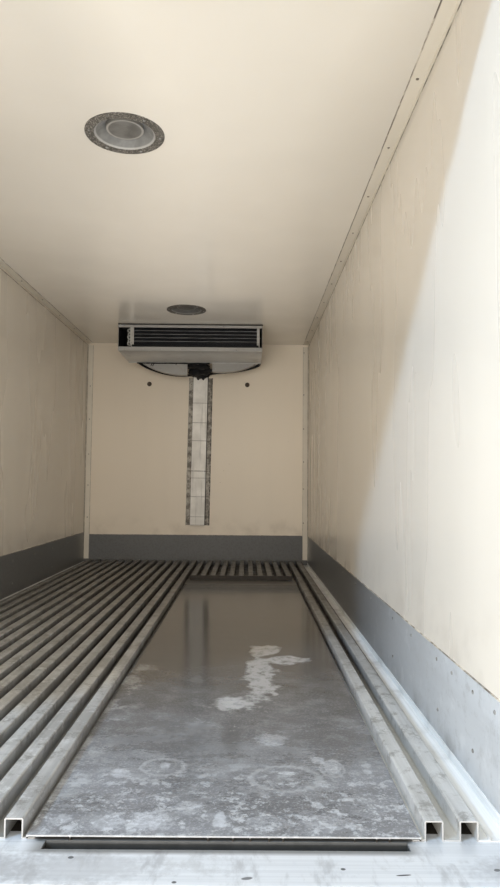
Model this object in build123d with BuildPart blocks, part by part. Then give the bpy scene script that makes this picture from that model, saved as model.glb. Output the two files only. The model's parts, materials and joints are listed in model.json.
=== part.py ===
"""Insulated refrigerated cargo box of a light truck: sandwich panels, ribbed aluminium floor, rear doors.

Millimetres. X is to the right, Y forward to the front wall, Z up. The origin is the middle of the bolt
patterns that hold the box to a chassis, on the underside of the bearers.
"""
from build123d import *
import math
import os

os.makedirs("parts", exist_ok=True)

# Load space, between the panels' inner faces
inner_width = 1980
inner_height = 1966
rib_length = 4568
sill_depth = 153

# Sandwich panels
side_wall = 80
front_wall_sheet = 100
roof_sheet = 90
floor_sheet = 100

# Substructure
bearer_height = 110
bearer_flange = 60
bearer_web = 6
bearer_width = 760
bearer_front_setback = 160
bearer_rear_setback = 90
cross_height = 70
cross_flange = 45
cross_web = 4
cross_pitch = 430
cross_count = 11
bracket_length = 100
bracket_reach = 84
bracket_rise = 80
bracket_plate = 8
gusset_sheet = 8
bracket_hole_radius = 9
bracket_hole_reach = 50
bracket_near_y = 620
bracket_far_y = 1860

# Folded edge profiles outside
edge_leg = 60
edge_sheet = 3
edge_radius = 2.5
cap_bevel = 4
edge_clearance = 1

# Rear frame
frame_sheet = 5
sill_flange = 29
gutter_left_inset = 39
gutter_right_inset = 28
gutter_width = 32
gutter_depth = 70
gutter_sheet = 3
drain_radius = 13
drain_wall = 2.5
drain_length = 190
drain_inset = 60
drain_clearance = 0.3
drip_proud = 18
drip_height = 6
lamp_length = 130
lamp_height = 36
lamp_proud = 16
lamp_radius = 6
lamp_x = 900

# Ribbed floor
rib_pitch = 70
rib_width = 38
rib_height = 40
rib_wall = 3
rib_bevel = 2.5
rib_margin = 72
left_ribs = 14
right_ribs = 2
end_flange = 24
end_lip = 8
short_end_sheet = 3
bank_clearance = 1

# Loose floor plate between the long ribs
plate_length = 3575
plate_overhang = 5
plate_sheet = 3
plate_stand = 4
plate_gap = 8
plate_front_gap = 2
foot_sheet = 3
left_feet = (87, 361, 411, 445, 483, 511)
right_feet = (133, 89, 63)

# Lining
kick_sheet = 4
kick_front = 257
kick_right = 256
kick_left = 275
ceiling_leg = 45
ceiling_wall_leg = 20
corner_leg = 48
corner_side_leg = 20
corner_foot_gap = 5
trim_sheet = 2
trim_clearance = 1
skirt_rise = 24
skirt_sheet = 2

# Ceiling lamps, let into the roof panel
lamp_sides = 48
lamp_flange_radius = 142
lamp_flange_sheet = 3
dish_radius = 109
dish_rise = 28
dish_slope = 53
disc_radius = 67
disc_rise = 14
can_radius = 111
can_rise = 34
can_clearance = 1
near_lamp = 960
far_lamp_gap = 430

# Evaporator, hung from the ceiling at the front wall
cooler_left = -575
cooler_right = 560
cooler_front_gap = 752
cooler_rear_gap = 272
cooler_front_height = 214
cooler_rear_height = 218
cooler_sheet = 2.5
cooler_lip = 30
cooler_top_lip = 20
hanger_rise = 10
hanger_width = 40
hanger_inset = 150
pan_lip = 6
coil_setback = 60
coil_depth = 150
coil_left_gap = 92
coil_right_gap = 22
coil_plate = 4
coil_plate_proud = 10
tube_rows = 6
tube_pitch = 26
tube_radius = 5
tube_sides = 8
tube_setback = 24
tube_column_gap = 22
bend_stub = 21
bend_reach = 31
bend_bevel = 7
left_upright = 30
right_upright = 21
upright_height = 150
upright_sheet = 3
blade_count = 4
blade_first_drop = 44
blade_pitch = 28
blade_depth = 30
blade_thickness = 5
blade_tip = 1.5
blade_drop = 5
louvre_setback = 12

# Valve box behind the case: two wings with an arched lower edge, and an open middle for the lines
valve_box_depth = 60
valve_box_top_drop = 70
wing_end_drop = 224
left_wing_end = -462
left_wing_belly = (-310, 294)
left_wing_root = (-72, 327)
right_wing_end = 522
right_wing_belly = (379, 279)
right_wing_root = (142, 295)

# Line duct, lines and drain hoses on the front wall
duct_top_gap = 309
duct_bottom = 345
duct_top_x = 28
duct_bottom_x = 12
duct_width = 128
duct_flange = 40
duct_depth = 48
duct_sheet = 2
hose_radius = 8
hose_sides = 8
hose_spread = 50
line_radius = 20
line_sides = 10
line_spread = 21
line_start_spread = 50
line_start_rise = 34
hose_start_rise = 12
hose_left_inset = 70
hose_right_inset = 14
drop_in_duct = 60
duct_entry = 30
lead_out = 32
arc_share = 0.45

# Routes between their ends: X, gap to the front wall, drop below the ceiling
left_hose_route = ((-478, 198, 226), (-395, 180, 265), (-270, 128, 297), (-110, 54, 301))
right_hose_route = ((549, 198, 224), (470, 180, 251), (330, 134, 271), (165, 72, 273))

# Doors, at rest swung round to the sides
door_thickness = 80
door_gap = 12
meeting_gap = 16
open_angle = 267
door_edge = 26
door_skin = 2
gasket_proud = 7
meeting_gasket_proud = 4
gasket_width = 22
gasket_setback = 4

# Hinges
hinge_out = 18
hinge_back = 22
hinge_count = 3
hinge_end = 170
hinge_height = 50
knuckle_radius = 11
pin_radius = 6
pin_clearance = 0.3
ear_height = 14
ear_gap = 1
ear_radius = 14
ear_seat = 60
strap_length = 330
strap_sheet = 8
strap_gap = 6
strap_bevel = 14
pad_start = 15

# Lock rods
rod_radius = 11
rod_sides = 12
rod_stand = 26
rod_places = (560, 880)
rod_overrun = 30
cam_width = 46
cam_height = 24
cam_depth = 26
guide_width = 70
guide_height = 40
guide_sheet = 4
guide_strap = 5
guide_levels = (150, 620, 1300, 1790)
handle_level = 860
handle_length = 300
handle_width = 26
handle_sheet = 6
handle_hub = 46
keeper_gap = 6
keeper_sheet = 8
keeper_base = 4
keeper_depth = 34

# Door hold-backs
buffer_reach = 960
buffer_level = 700
buffer_radius = 22
buffer_gap = 5
buffer_base = 90
buffer_plate = 6

# Places that follow from the sizes above
half_inner = inner_width / 2
half_outer = half_inner + side_wall
floor_bottom = bearer_height + cross_height
floor_top = floor_bottom + floor_sheet
ceiling = floor_top + inner_height
roof_top = ceiling + roof_sheet
box_length = sill_depth + rib_length + kick_sheet + front_wall_sheet
rear_y = -box_length / 2
front_y = box_length / 2
ribs_y = rear_y + sill_depth
front_face_y = front_y - front_wall_sheet
flange_y = ribs_y + sill_flange
cooler_front_y = front_face_y - cooler_front_gap
cooler_rear_y = front_face_y - cooler_rear_gap
lamp_places = ((0, ribs_y + near_lamp), (0, cooler_front_y - far_lamp_gap))


def save(piece, name):
    """Names a finished piece and writes it."""
    piece.part.label = name
    export_step(piece.part, f"parts/{name}.step")


def block(low, high, mode=Mode.ADD):
    """A box between two opposite corners."""
    with Locations(tuple((a + b) / 2 for a, b in zip(low, high))):
        Box(*[b - a for a, b in zip(low, high)], mode=mode)


def side_view(x, y=0, z=0):
    """Plane whose X runs forward and whose Y runs up. It extrudes to the right."""
    return Plane(origin=(x, y, z), x_dir=(0, 1, 0), z_dir=(1, 0, 0))


def rear_view(y, x=0, z=0):
    """Plane whose X runs right and whose Y runs up. It extrudes to the rear."""
    return Plane(origin=(x, y, z), x_dir=(1, 0, 0), z_dir=(0, -1, 0))


def angle(plane, length, leg_x, leg_y, sheet):
    """A folded angle: its corner on the plane's origin, its legs along the signs of leg_x and leg_y."""
    step_x, step_y = math.copysign(sheet, leg_x), math.copysign(sheet, leg_y)
    with BuildSketch(plane) as section:
        with BuildLine():
            Polyline(
                (0, 0), (leg_x, 0), (leg_x, step_y), (step_x, step_y), (step_x, leg_y), (0, leg_y), close=True
            )
        make_face()
    extrude(section.sketch, amount=length)


def rib_x(index):
    """Middle of a floor rib, counted from the left wall."""
    return rib_margin - half_inner + index * rib_pitch


# The long ribs stand in two banks, and the plate lies between them, in front of it the short ribs
rib_count = int((inner_width - 2 * rib_margin) / rib_pitch) + 1
left_last = left_ribs - 1
right_first = rib_count - right_ribs
plate_low_x = rib_x(left_last) + rib_width / 2 + plate_gap
plate_high_x = rib_x(right_first) - rib_width / 2 - plate_gap

# Panels
with BuildPart() as floor_panel:
    block((-half_inner, ribs_y, floor_bottom), (half_inner, front_face_y, floor_top))
    block((-half_inner, ribs_y, floor_top - frame_sheet), (half_inner, flange_y, floor_top), Mode.SUBTRACT)
save(floor_panel, "floor_panel")

with BuildPart() as left_wall:
    block((-half_outer, ribs_y, floor_bottom), (-half_inner, front_face_y, ceiling))
save(left_wall, "left_wall")

with BuildPart() as right_wall:
    mirror(left_wall.part, about=Plane.YZ)
save(right_wall, "right_wall")

with BuildPart() as front_wall:
    block((-half_outer, front_face_y, floor_bottom), (half_outer, front_y, ceiling))
save(front_wall, "front_wall")

with BuildPart() as roof_panel:
    block((-half_outer, ribs_y, ceiling), (half_outer, front_y, roof_top))
    with BuildSketch(Plane.XY.offset(ceiling)):
        with Locations(*lamp_places):
            RegularPolygon(can_radius + can_clearance, lamp_sides)
    extrude(amount=can_rise + can_clearance, mode=Mode.SUBTRACT)
save(roof_panel, "roof_panel")


# Edge profiles that clasp the panels' outer edges
rail_x = half_outer + edge_sheet
rail_front_y = front_y + edge_sheet
rail_top = roof_top + edge_sheet
rail_inset = edge_leg + edge_clearance

with BuildPart() as roof_side_rails:
    for side in (-1, 1):
        start = rear_view(rail_front_y - rail_inset, side * rail_x, rail_top)
        angle(start, rail_front_y - rail_inset - ribs_y, -side * edge_leg, -edge_leg, edge_sheet)
    bends = roof_side_rails.edges().filter_by(Axis.Y).group_by(Axis.Z)[-1]
    fillet(bends.filter_by(lambda bend: abs(bend.center().X) > half_outer), edge_radius)
save(roof_side_rails, "roof_side_rails")

with BuildPart() as roof_front_rail:
    start = side_view(-rail_x + rail_inset, rail_front_y, rail_top)
    angle(start, 2 * (rail_x - rail_inset), -edge_leg, -edge_leg, edge_sheet)
    bend = roof_front_rail.edges().filter_by(Axis.X).group_by(Axis.Z)[-1].sort_by(Axis.Y)[-1]
    fillet(bend, edge_radius)
save(roof_front_rail, "roof_front_rail")

with BuildPart() as roof_corner_caps:
    for side in (-1, 1):
        low = (min(side * rail_x, side * (rail_x - edge_leg)), rail_front_y - edge_leg, rail_top - edge_leg)
        block(low, tuple(c + edge_leg for c in low))
    top_edges = roof_corner_caps.faces().group_by(Axis.Z)[-1].edges()
    chamfer(
        top_edges.filter_by(
            lambda edge: abs(edge.center().X) > rail_x - cap_bevel or edge.center().Y > rail_front_y - cap_bevel
        ),
        cap_bevel,
    )
    block((-half_outer, rail_front_y - edge_leg, rail_top - edge_leg), (half_outer, front_y, roof_top), Mode.SUBTRACT)
save(roof_corner_caps, "roof_corner_caps")

with BuildPart() as front_corner_rails:
    for side in (-1, 1):
        start = Plane((side * rail_x, rail_front_y, floor_bottom))
        angle(start, rail_top - rail_inset - floor_bottom, -side * edge_leg, -edge_leg, edge_sheet)
save(front_corner_rails, "front_corner_rails")

with BuildPart() as bottom_side_rails:
    for side in (-1, 1):
        start = rear_view(rail_front_y - rail_inset, side * rail_x, floor_bottom - edge_sheet)
        angle(start, rail_front_y - rail_inset - ribs_y, -side * edge_leg, edge_leg, edge_sheet)
save(bottom_side_rails, "bottom_side_rails")


# Substructure
def channel(plane, length, height, flange, web):
    """A channel with its web on the plane's Y axis and its flanges along X."""
    with BuildSketch(plane) as section:
        Rectangle(flange, height, align=(Align.MIN, Align.MIN))
        with Locations((web, web)):
            Rectangle(flange - web, height - 2 * web, align=(Align.MIN, Align.MIN), mode=Mode.SUBTRACT)
    extrude(section.sketch, amount=length)


bearer_x = bearer_width / 2
bearer_front_y = front_y - bearer_front_setback
bearer_length = box_length - bearer_front_setback - bearer_rear_setback
bracket_places = (-bracket_far_y, -bracket_near_y, bracket_near_y, bracket_far_y)
bolt_x = bearer_x + bracket_hole_reach

with BuildPart() as bearers:
    channel(rear_view(bearer_front_y, -bearer_x), bearer_length, bearer_height, bearer_flange, bearer_web)
    for y in bracket_places:
        low_y, high_y = y - bracket_length / 2, y + bracket_length / 2
        block((-bearer_x - bracket_reach, low_y, 0), (-bearer_x, high_y, bracket_plate))
        block((-bearer_x - bracket_plate, low_y, 0), (-bearer_x, high_y, bracket_rise))
        for rear_edge in (low_y + gusset_sheet, high_y):
            with BuildSketch(rear_view(rear_edge, -bearer_x)):
                with BuildLine():
                    Polyline((0, bracket_plate), (-bracket_reach, bracket_plate), (0, bracket_rise), close=True)
                make_face()
            extrude(amount=gusset_sheet)
    with BuildSketch(Plane.XY):
        with Locations(*[(-bolt_x, y) for y in bracket_places]):
            Circle(bracket_hole_radius)
    extrude(amount=bracket_plate, mode=Mode.SUBTRACT)
    mirror(about=Plane.YZ)
save(bearers, "bearers")

cross_half = rail_x - rail_inset
with BuildPart() as cross_members:
    for i in range(cross_count):
        y = (i - (cross_count - 1) / 2) * cross_pitch
        channel(side_view(-cross_half, y, bearer_height), 2 * cross_half, cross_height, cross_flange, cross_web)
save(cross_members, "cross_members")


# Rear frame
with BuildPart() as rear_sill:
    with BuildSketch(side_view(-half_outer, rear_y, floor_bottom)):
        Rectangle(sill_depth, floor_sheet, align=(Align.MIN, Align.MIN))
        with Locations((frame_sheet, frame_sheet)):
            Rectangle(
                sill_depth - 2 * frame_sheet,
                floor_sheet - 2 * frame_sheet,
                align=(Align.MIN, Align.MIN),
                mode=Mode.SUBTRACT,
            )
    extrude(amount=2 * half_outer)
    trough_low_x = plate_low_x + gutter_left_inset
    trough_high_x = plate_high_x - gutter_right_inset
    trough_front_y = ribs_y - frame_sheet
    trough_rear_y = trough_front_y - gutter_width
    trough_z = floor_top - gutter_depth
    block(
        (trough_low_x - gutter_sheet, trough_rear_y - gutter_sheet, trough_z - gutter_sheet),
        (trough_high_x + gutter_sheet, trough_front_y, floor_top),
    )
    block((trough_low_x, trough_rear_y, trough_z), (trough_high_x, trough_front_y, floor_top), Mode.SUBTRACT)
    block((-half_inner, ribs_y, floor_top - frame_sheet), (half_inner, flange_y, floor_top))
    drain_y = trough_rear_y + gutter_width / 2
    drain_places = [(x, drain_y) for x in (trough_low_x + drain_inset, trough_high_x - drain_inset)]
    with BuildSketch(Plane.XY.offset(floor_bottom)):
        with Locations(*drain_places):
            Circle(drain_radius + drain_clearance)
    extrude(amount=floor_sheet, mode=Mode.SUBTRACT)
save(rear_sill, "rear_sill")

with BuildPart() as drain_spouts:
    with BuildSketch(Plane.XY.offset(trough_z)):
        with Locations(*drain_places):
            Circle(drain_radius)
            Circle(drain_radius - drain_wall, mode=Mode.SUBTRACT)
    extrude(amount=-drain_length)
save(drain_spouts, "drain_spouts")

hinge_x = half_outer + hinge_out
hinge_y = rear_y - hinge_back
leaf_bottom = floor_top + door_gap
leaf_height = inner_height - 2 * door_gap
hinge_step = (leaf_height - 2 * hinge_end) / (hinge_count - 1)
hinge_levels = [leaf_bottom + hinge_end + i * hinge_step for i in range(hinge_count)]

with BuildPart() as right_post:
    with BuildSketch(Plane((half_inner, rear_y, floor_top))):
        Rectangle(side_wall, sill_depth, align=(Align.MIN, Align.MIN))
        with Locations((frame_sheet, frame_sheet)):
            Rectangle(
                side_wall - 2 * frame_sheet,
                sill_depth - 2 * frame_sheet,
                align=(Align.MIN, Align.MIN),
                mode=Mode.SUBTRACT,
            )
    extrude(amount=inner_height)
    ear_offset = hinge_height / 2 + ear_gap
    for level in hinge_levels:
        for bottom in (level - ear_offset - ear_height, level + ear_offset):
            with BuildSketch(Plane.XY.offset(bottom)):
                with Locations((hinge_x, hinge_y)):
                    Circle(ear_radius)
                with Locations((half_outer, rear_y)):
                    Rectangle(frame_sheet, ear_seat, align=(Align.MAX, Align.MIN))
                make_hull()
            extrude(amount=ear_height)
        with BuildSketch(Plane.XY.offset(level - ear_offset)):
            with Locations((hinge_x, hinge_y)):
                Circle(pin_radius)
        extrude(amount=2 * ear_offset)
save(right_post, "right_post")

with BuildPart() as left_post:
    mirror(right_post.part, about=Plane.YZ)
save(left_post, "left_post")

with BuildPart() as rear_header:
    with BuildSketch(side_view(-half_outer, rear_y, ceiling)):
        Rectangle(sill_depth, roof_sheet, align=(Align.MIN, Align.MIN))
        with Locations((frame_sheet, frame_sheet)):
            Rectangle(
                sill_depth - 2 * frame_sheet,
                roof_sheet - 2 * frame_sheet,
                align=(Align.MIN, Align.MIN),
                mode=Mode.SUBTRACT,
            )
        with Locations((0, roof_sheet)):
            Rectangle(drip_proud, drip_height, align=(Align.MAX, Align.MAX))
    extrude(amount=2 * half_outer)
save(rear_header, "rear_header")

with BuildPart() as marker_lamps:
    for side in (-1, 1):
        x, z = side * lamp_x, ceiling + roof_sheet / 2
        block(
            (x - lamp_length / 2, rear_y - lamp_proud, z - lamp_height / 2),
            (x + lamp_length / 2, rear_y, z + lamp_height / 2),
        )
    fillet(marker_lamps.faces().group_by(Axis.Y)[0].edges(), lamp_radius)
save(marker_lamps, "marker_lamps")


# Ribbed floor: open hat ribs joined by their feet, in three banks
def rib_bank(first, count, low_x, high_x, low_y, high_y):
    """Floor ribs from the first one on, on a base sheet between low_x and high_x."""
    with BuildSketch(rear_view(high_y, 0, floor_top)) as section:
        with Locations(((low_x + high_x) / 2, rib_wall / 2)):
            Rectangle(high_x - low_x, rib_wall)
        ribs = [(rib_x(i), 0) for i in range(first, first + count)]
        with Locations(*ribs):
            Rectangle(rib_width, rib_height, align=(Align.CENTER, Align.MIN))
        chamfer(section.vertices().group_by(Axis.Y)[-1], rib_bevel)
        with Locations(*ribs):
            Rectangle(
                rib_width - 2 * rib_wall,
                rib_height - rib_wall,
                align=(Align.CENTER, Align.MIN),
                mode=Mode.SUBTRACT,
            )
    extrude(section.sketch, amount=high_y - low_y)


ribs_front_y = ribs_y + rib_length
left_bank_x = rib_x(left_last) + rib_width / 2 + end_flange
right_bank_x = rib_x(right_first) - rib_width / 2 - end_flange
right_end_x = rib_x(rib_count - 1) + rib_width / 2 + end_flange
left_end_x = rib_x(0) - rib_width / 2 - end_flange
plate_front_y = ribs_y - plate_overhang + plate_length
short_ribs_y = plate_front_y + plate_front_gap

with BuildPart() as left_floor_ribs:
    rib_bank(0, left_ribs, left_end_x, left_bank_x, ribs_y, ribs_front_y)
save(left_floor_ribs, "left_floor_ribs")

with BuildPart() as middle_floor_ribs:
    short_low_x, short_high_x = left_bank_x + bank_clearance, right_bank_x - bank_clearance
    rib_bank(left_ribs, right_first - left_ribs, short_low_x, short_high_x, short_ribs_y, ribs_front_y)
    block(
        (short_low_x, short_ribs_y, floor_top),
        (short_high_x, short_ribs_y + short_end_sheet, floor_top + rib_height),
    )
save(middle_floor_ribs, "middle_floor_ribs")

with BuildPart() as right_floor_ribs:
    rib_bank(right_first, right_ribs, right_bank_x, right_end_x, ribs_y, ribs_front_y)
    block((right_end_x - rib_wall, ribs_y, floor_top), (right_end_x, ribs_front_y, floor_top + end_lip))
save(right_floor_ribs, "right_floor_ribs")

foot_places = [plate_low_x + x for x in left_feet] + [plate_high_x - x for x in right_feet]
with BuildPart() as floor_plate:
    with BuildSketch(rear_view(plate_front_y, 0, floor_top)):
        under = rib_wall + plate_stand
        with Locations((plate_low_x, under)):
            Rectangle(plate_high_x - plate_low_x, plate_sheet, align=(Align.MIN, Align.MIN))
        with Locations(*[(x, 0) for x in foot_places]):
            Rectangle(foot_sheet, under, align=(Align.CENTER, Align.MIN))
        with Locations((plate_low_x, rib_wall), (plate_high_x - foot_sheet, rib_wall)):
            Rectangle(foot_sheet, plate_stand, align=(Align.MIN, Align.MIN))
    extrude(amount=plate_length)
save(floor_plate, "floor_plate")


# Lining
kick_end_y = front_face_y - kick_sheet
with BuildPart() as front_kick_plate:
    block((-half_inner, kick_end_y, floor_top), (half_inner, front_face_y, floor_top + kick_front))
save(front_kick_plate, "front_kick_plate")

with BuildPart() as left_kick_plate:
    block((-half_inner, ribs_y, floor_top), (-half_inner + kick_sheet, kick_end_y, floor_top + kick_left))
save(left_kick_plate, "left_kick_plate")

with BuildPart() as right_kick_plate:
    block((half_inner - kick_sheet, ribs_y, floor_top), (half_inner, kick_end_y, floor_top + kick_right))
save(right_kick_plate, "right_kick_plate")

with BuildPart() as ceiling_trims:
    for side in (-1, 1):
        start = rear_view(front_face_y, side * half_inner, ceiling)
        angle(start, front_face_y - ribs_y, -side * ceiling_leg, -ceiling_wall_leg, trim_sheet)
save(ceiling_trims, "ceiling_trims")

# The corner trims are relieved at the foot, where they run down over the kick plates
corner_bottom = floor_top + rib_height + corner_foot_gap
corner_top = ceiling - ceiling_wall_leg - trim_clearance
with BuildPart() as corner_trims:
    for side, kick_height in ((-1, kick_left), (1, kick_right)):
        start = Plane((side * half_inner, front_face_y, corner_bottom))
        angle(start, corner_top - corner_bottom, -side * corner_leg, -corner_side_leg, kick_sheet + trim_sheet)
        low_x, high_x = sorted((side * half_inner, side * (half_inner - kick_sheet)))
        block((low_x, ribs_y, corner_bottom), (high_x, front_face_y, floor_top + kick_height), Mode.SUBTRACT)
    block((-half_inner, kick_end_y, corner_bottom), (half_inner, front_face_y, floor_top + kick_front), Mode.SUBTRACT)
save(corner_trims, "corner_trims")

with BuildPart() as floor_edge_angles:
    for side, bank_end in ((-1, left_end_x), (1, right_end_x)):
        corner_x = side * (half_inner - kick_sheet)
        start = rear_view(kick_end_y, corner_x, floor_top)
        reach = bank_end + side * bank_clearance - corner_x
        angle(start, kick_end_y - ribs_y, reach, skirt_rise, skirt_sheet)
save(floor_edge_angles, "floor_edge_angles")


# Ceiling lamps: a flange on the ceiling, a dish drawn up into the panel and a disc that stands in it
def ceiling_lamp(place):
    """A round lamp, drawn as a many-sided one."""
    for radius, low, high in (
        (can_radius, 0, can_rise),
        (lamp_flange_radius, -lamp_flange_sheet, 0),
    ):
        with BuildSketch(Plane.XY.offset(ceiling + low)) as ring:
            with Locations(place):
                RegularPolygon(radius, lamp_sides)
        extrude(ring.sketch, amount=high - low)
    with BuildSketch(Plane.XY.offset(ceiling - lamp_flange_sheet)) as mouth:
        with Locations(place):
            RegularPolygon(dish_radius, lamp_sides)
    extrude(mouth.sketch, amount=lamp_flange_sheet + dish_rise, taper=dish_slope, mode=Mode.SUBTRACT)
    with BuildSketch(Plane.XY.offset(ceiling + dish_rise - disc_rise)) as disc:
        with Locations(place):
            RegularPolygon(disc_radius, lamp_sides)
    extrude(disc.sketch, amount=disc_rise)


rear_lamp_place, front_lamp_place = lamp_places
with BuildPart() as rear_ceiling_lamp:
    ceiling_lamp(rear_lamp_place)
save(rear_ceiling_lamp, "rear_ceiling_lamp")

with BuildPart() as front_ceiling_lamp:
    ceiling_lamp(front_lamp_place)
save(front_ceiling_lamp, "front_ceiling_lamp")


# Evaporator
cooler_width = cooler_right - cooler_left
cooler_top_z = ceiling - hanger_rise
cooler_front_z = ceiling - cooler_front_height
cooler_rear_z = ceiling - cooler_rear_height


def cooler_body(inset, mode):
    """The casing's outer body, drawn in by the inset and open to the rear."""
    with BuildSketch(side_view(cooler_left + inset)) as section:
        with BuildLine():
            Polyline(
                (cooler_front_y, cooler_top_z - inset),
                (cooler_rear_y - inset, cooler_top_z - inset),
                (cooler_rear_y - inset, cooler_rear_z + inset),
                (cooler_front_y, cooler_front_z + inset),
                close=True,
            )
        make_face()
    extrude(section.sketch, amount=cooler_width - 2 * inset, mode=mode)


with BuildPart() as evaporator_case:
    cooler_body(0, Mode.ADD)
    cooler_body(cooler_sheet, Mode.SUBTRACT)
    block(
        (cooler_left, cooler_front_y, cooler_front_z),
        (cooler_right, cooler_front_y + cooler_sheet, cooler_front_z + cooler_lip),
    )
    block(
        (cooler_left, cooler_front_y, cooler_top_z - cooler_top_lip),
        (cooler_right, cooler_front_y + cooler_sheet, cooler_top_z),
    )
    block(
        (cooler_left, cooler_rear_y - cooler_sheet, cooler_rear_z - pan_lip),
        (cooler_right, cooler_rear_y, cooler_rear_z),
    )
    for x in (cooler_left + hanger_inset, cooler_right - hanger_inset):
        block(
            (x - hanger_width / 2, cooler_front_y + hanger_width, cooler_top_z),
            (x + hanger_width / 2, cooler_rear_y, ceiling),
        )
save(evaporator_case, "evaporator_case")

with BuildPart() as valve_box:
    wing_shapes = (
        (left_wing_end, left_wing_belly, left_wing_root),
        (right_wing_end, right_wing_belly, right_wing_root),
    )
    with BuildSketch(rear_view(cooler_rear_y + valve_box_depth, 0, ceiling)):
        for end_x, (belly_x, belly_drop), (root_x, root_drop) in wing_shapes:
            with BuildLine():
                ThreePointArc((end_x, -wing_end_drop), (belly_x, -belly_drop), (root_x, -root_drop))
                Polyline(
                    (root_x, -root_drop),
                    (root_x, -valve_box_top_drop),
                    (end_x, -valve_box_top_drop),
                    (end_x, -wing_end_drop),
                )
            make_face()
        left_root_x, right_root_x = left_wing_root[0], right_wing_root[0]
        with Locations((left_root_x, -valve_box_top_drop)):
            Rectangle(
                right_root_x - left_root_x,
                cooler_rear_height - line_start_rise - 2 * line_radius - valve_box_top_drop,
                align=(Align.MIN, Align.MAX),
            )
    extrude(amount=valve_box_depth)
save(valve_box, "valve_box")

coil_low_x = cooler_left + coil_left_gap
coil_high_x = cooler_right - coil_right_gap
coil_y = cooler_front_y + coil_setback
coil_z = cooler_top_z - cooler_sheet
coil_height = tube_rows * tube_pitch


def return_bend(y, row):
    """A tube that leaves the coil's end plate at a row, turns down and goes back in at the next."""
    high_z = coil_z - (row + 1 / 2) * tube_pitch
    low_z = high_z - tube_pitch
    with BuildLine() as path:
        Polyline(
            (coil_low_x, y, high_z),
            (coil_low_x - bend_stub, y, high_z),
            (coil_low_x - bend_reach, y, high_z - bend_bevel),
            (coil_low_x - bend_reach, y, low_z + bend_bevel),
            (coil_low_x - bend_stub, y, low_z),
            (coil_low_x, y, low_z),
        )
    with BuildSketch(Plane(origin=path.line @ 0, z_dir=path.line % 0)) as section:
        RegularPolygon(tube_radius, tube_sides)
    sweep(section.sketch, path=path.line, transition=Transition.RIGHT)


with BuildPart() as evaporator_coil:
    block((coil_low_x, coil_y, coil_z - coil_height), (coil_high_x, coil_y + coil_depth, coil_z))
    for x in (coil_low_x, coil_high_x - coil_plate):
        block((x, coil_y - coil_plate_proud, coil_z - coil_height), (x + coil_plate, coil_y + coil_depth, coil_z))
    for column, first_row in ((0, 0), (1, 1)):
        for row in range(first_row, tube_rows - 1, 2):
            return_bend(coil_y + tube_setback + column * tube_column_gap, row)
save(evaporator_coil, "evaporator_coil")

with BuildPart() as evaporator_louvres:
    bar_y = cooler_front_y + louvre_setback
    for low_x, width in ((coil_low_x, left_upright), (coil_high_x - right_upright, right_upright)):
        block((low_x, bar_y, coil_z - upright_height), (low_x + width, bar_y + upright_sheet, coil_z))
    for i in range(blade_count):
        z = cooler_top_z - blade_first_drop - i * blade_pitch
        middle = (coil_low_x + left_upright, bar_y + blade_depth / 2, z)
        with BuildSketch(Plane(origin=middle, x_dir=(0, blade_depth, -blade_drop), z_dir=(1, 0, 0))):
            with BuildLine():
                Polyline(
                    (-blade_depth / 2, -blade_tip / 2),
                    (-blade_depth / 2, blade_tip / 2),
                    (0, blade_thickness / 2),
                    (blade_depth / 2, blade_tip / 2),
                    (blade_depth / 2, -blade_tip / 2),
                    (0, -blade_thickness / 2),
                    close=True,
                )
            make_face()
        extrude(amount=coil_high_x - right_upright - coil_low_x - left_upright)
save(evaporator_louvres, "evaporator_louvres")

# Duct on the front wall, with the lines and hoses that run down in it
duct_top_z = ceiling - duct_top_gap
duct_bottom_z = floor_top + duct_bottom
duct_rise = duct_top_z - duct_bottom_z
duct_lean = duct_top_x - duct_bottom_x
with BuildPart() as line_duct:
    lean = Plane(
        origin=(duct_bottom_x, front_face_y, duct_bottom_z),
        x_dir=(duct_rise, 0, -duct_lean),
        z_dir=(duct_lean, 0, duct_rise),
    )
    with BuildSketch(lean):
        Rectangle(duct_width + 2 * duct_flange, duct_sheet, align=(Align.CENTER, Align.MAX))
        Rectangle(duct_width, duct_depth, align=(Align.CENTER, Align.MAX))
        Rectangle(
            duct_width - 2 * duct_sheet, duct_depth - duct_sheet, align=(Align.CENTER, Align.MAX), mode=Mode.SUBTRACT
        )
    extrude(amount=math.hypot(duct_rise, duct_lean))
save(line_duct, "line_duct")


def tube(points, radius, sides):
    """A many-sided tube along straight runs, with each corner as large an arc as its runs allow."""
    runs = [b - a for a, b in zip(points, points[1:])]
    bends = []
    for before, after in zip(runs, runs[1:]):
        half_turn = math.radians(before.get_angle(after)) / 2
        bends.append(arc_share * min(before.length, after.length) / math.tan(half_turn))
    with BuildLine() as route:
        FilletPolyline(*points, radius=bends)
    with BuildSketch(Plane(origin=route.line @ 0, z_dir=route.line % 0)) as section:
        RegularPolygon(radius, sides)
    sweep(section.sketch, path=route.line)


def down_the_duct(start_x, rise, route, end_x):
    """The points of a line that leaves the case's rear side square, follows its route and ends in the duct."""
    start = Vector(start_x, cooler_rear_y, cooler_rear_z + rise)
    middle = [Vector(x, front_face_y - gap, ceiling - drop) for x, gap, drop in route]
    above = Vector(end_x, front_face_y - duct_depth / 2, duct_top_z + duct_entry)
    return [start, start + Vector(0, lead_out, 0), *middle, above, above - Vector(0, 0, duct_entry + drop_in_duct)]


with BuildPart() as refrigerant_lines:
    for side in (-1, 1):
        start_x, end_x = duct_top_x + side * line_start_spread, duct_top_x + side * line_spread
        tube(down_the_duct(start_x, line_start_rise, (), end_x), line_radius, line_sides)
save(refrigerant_lines, "refrigerant_lines")

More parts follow.
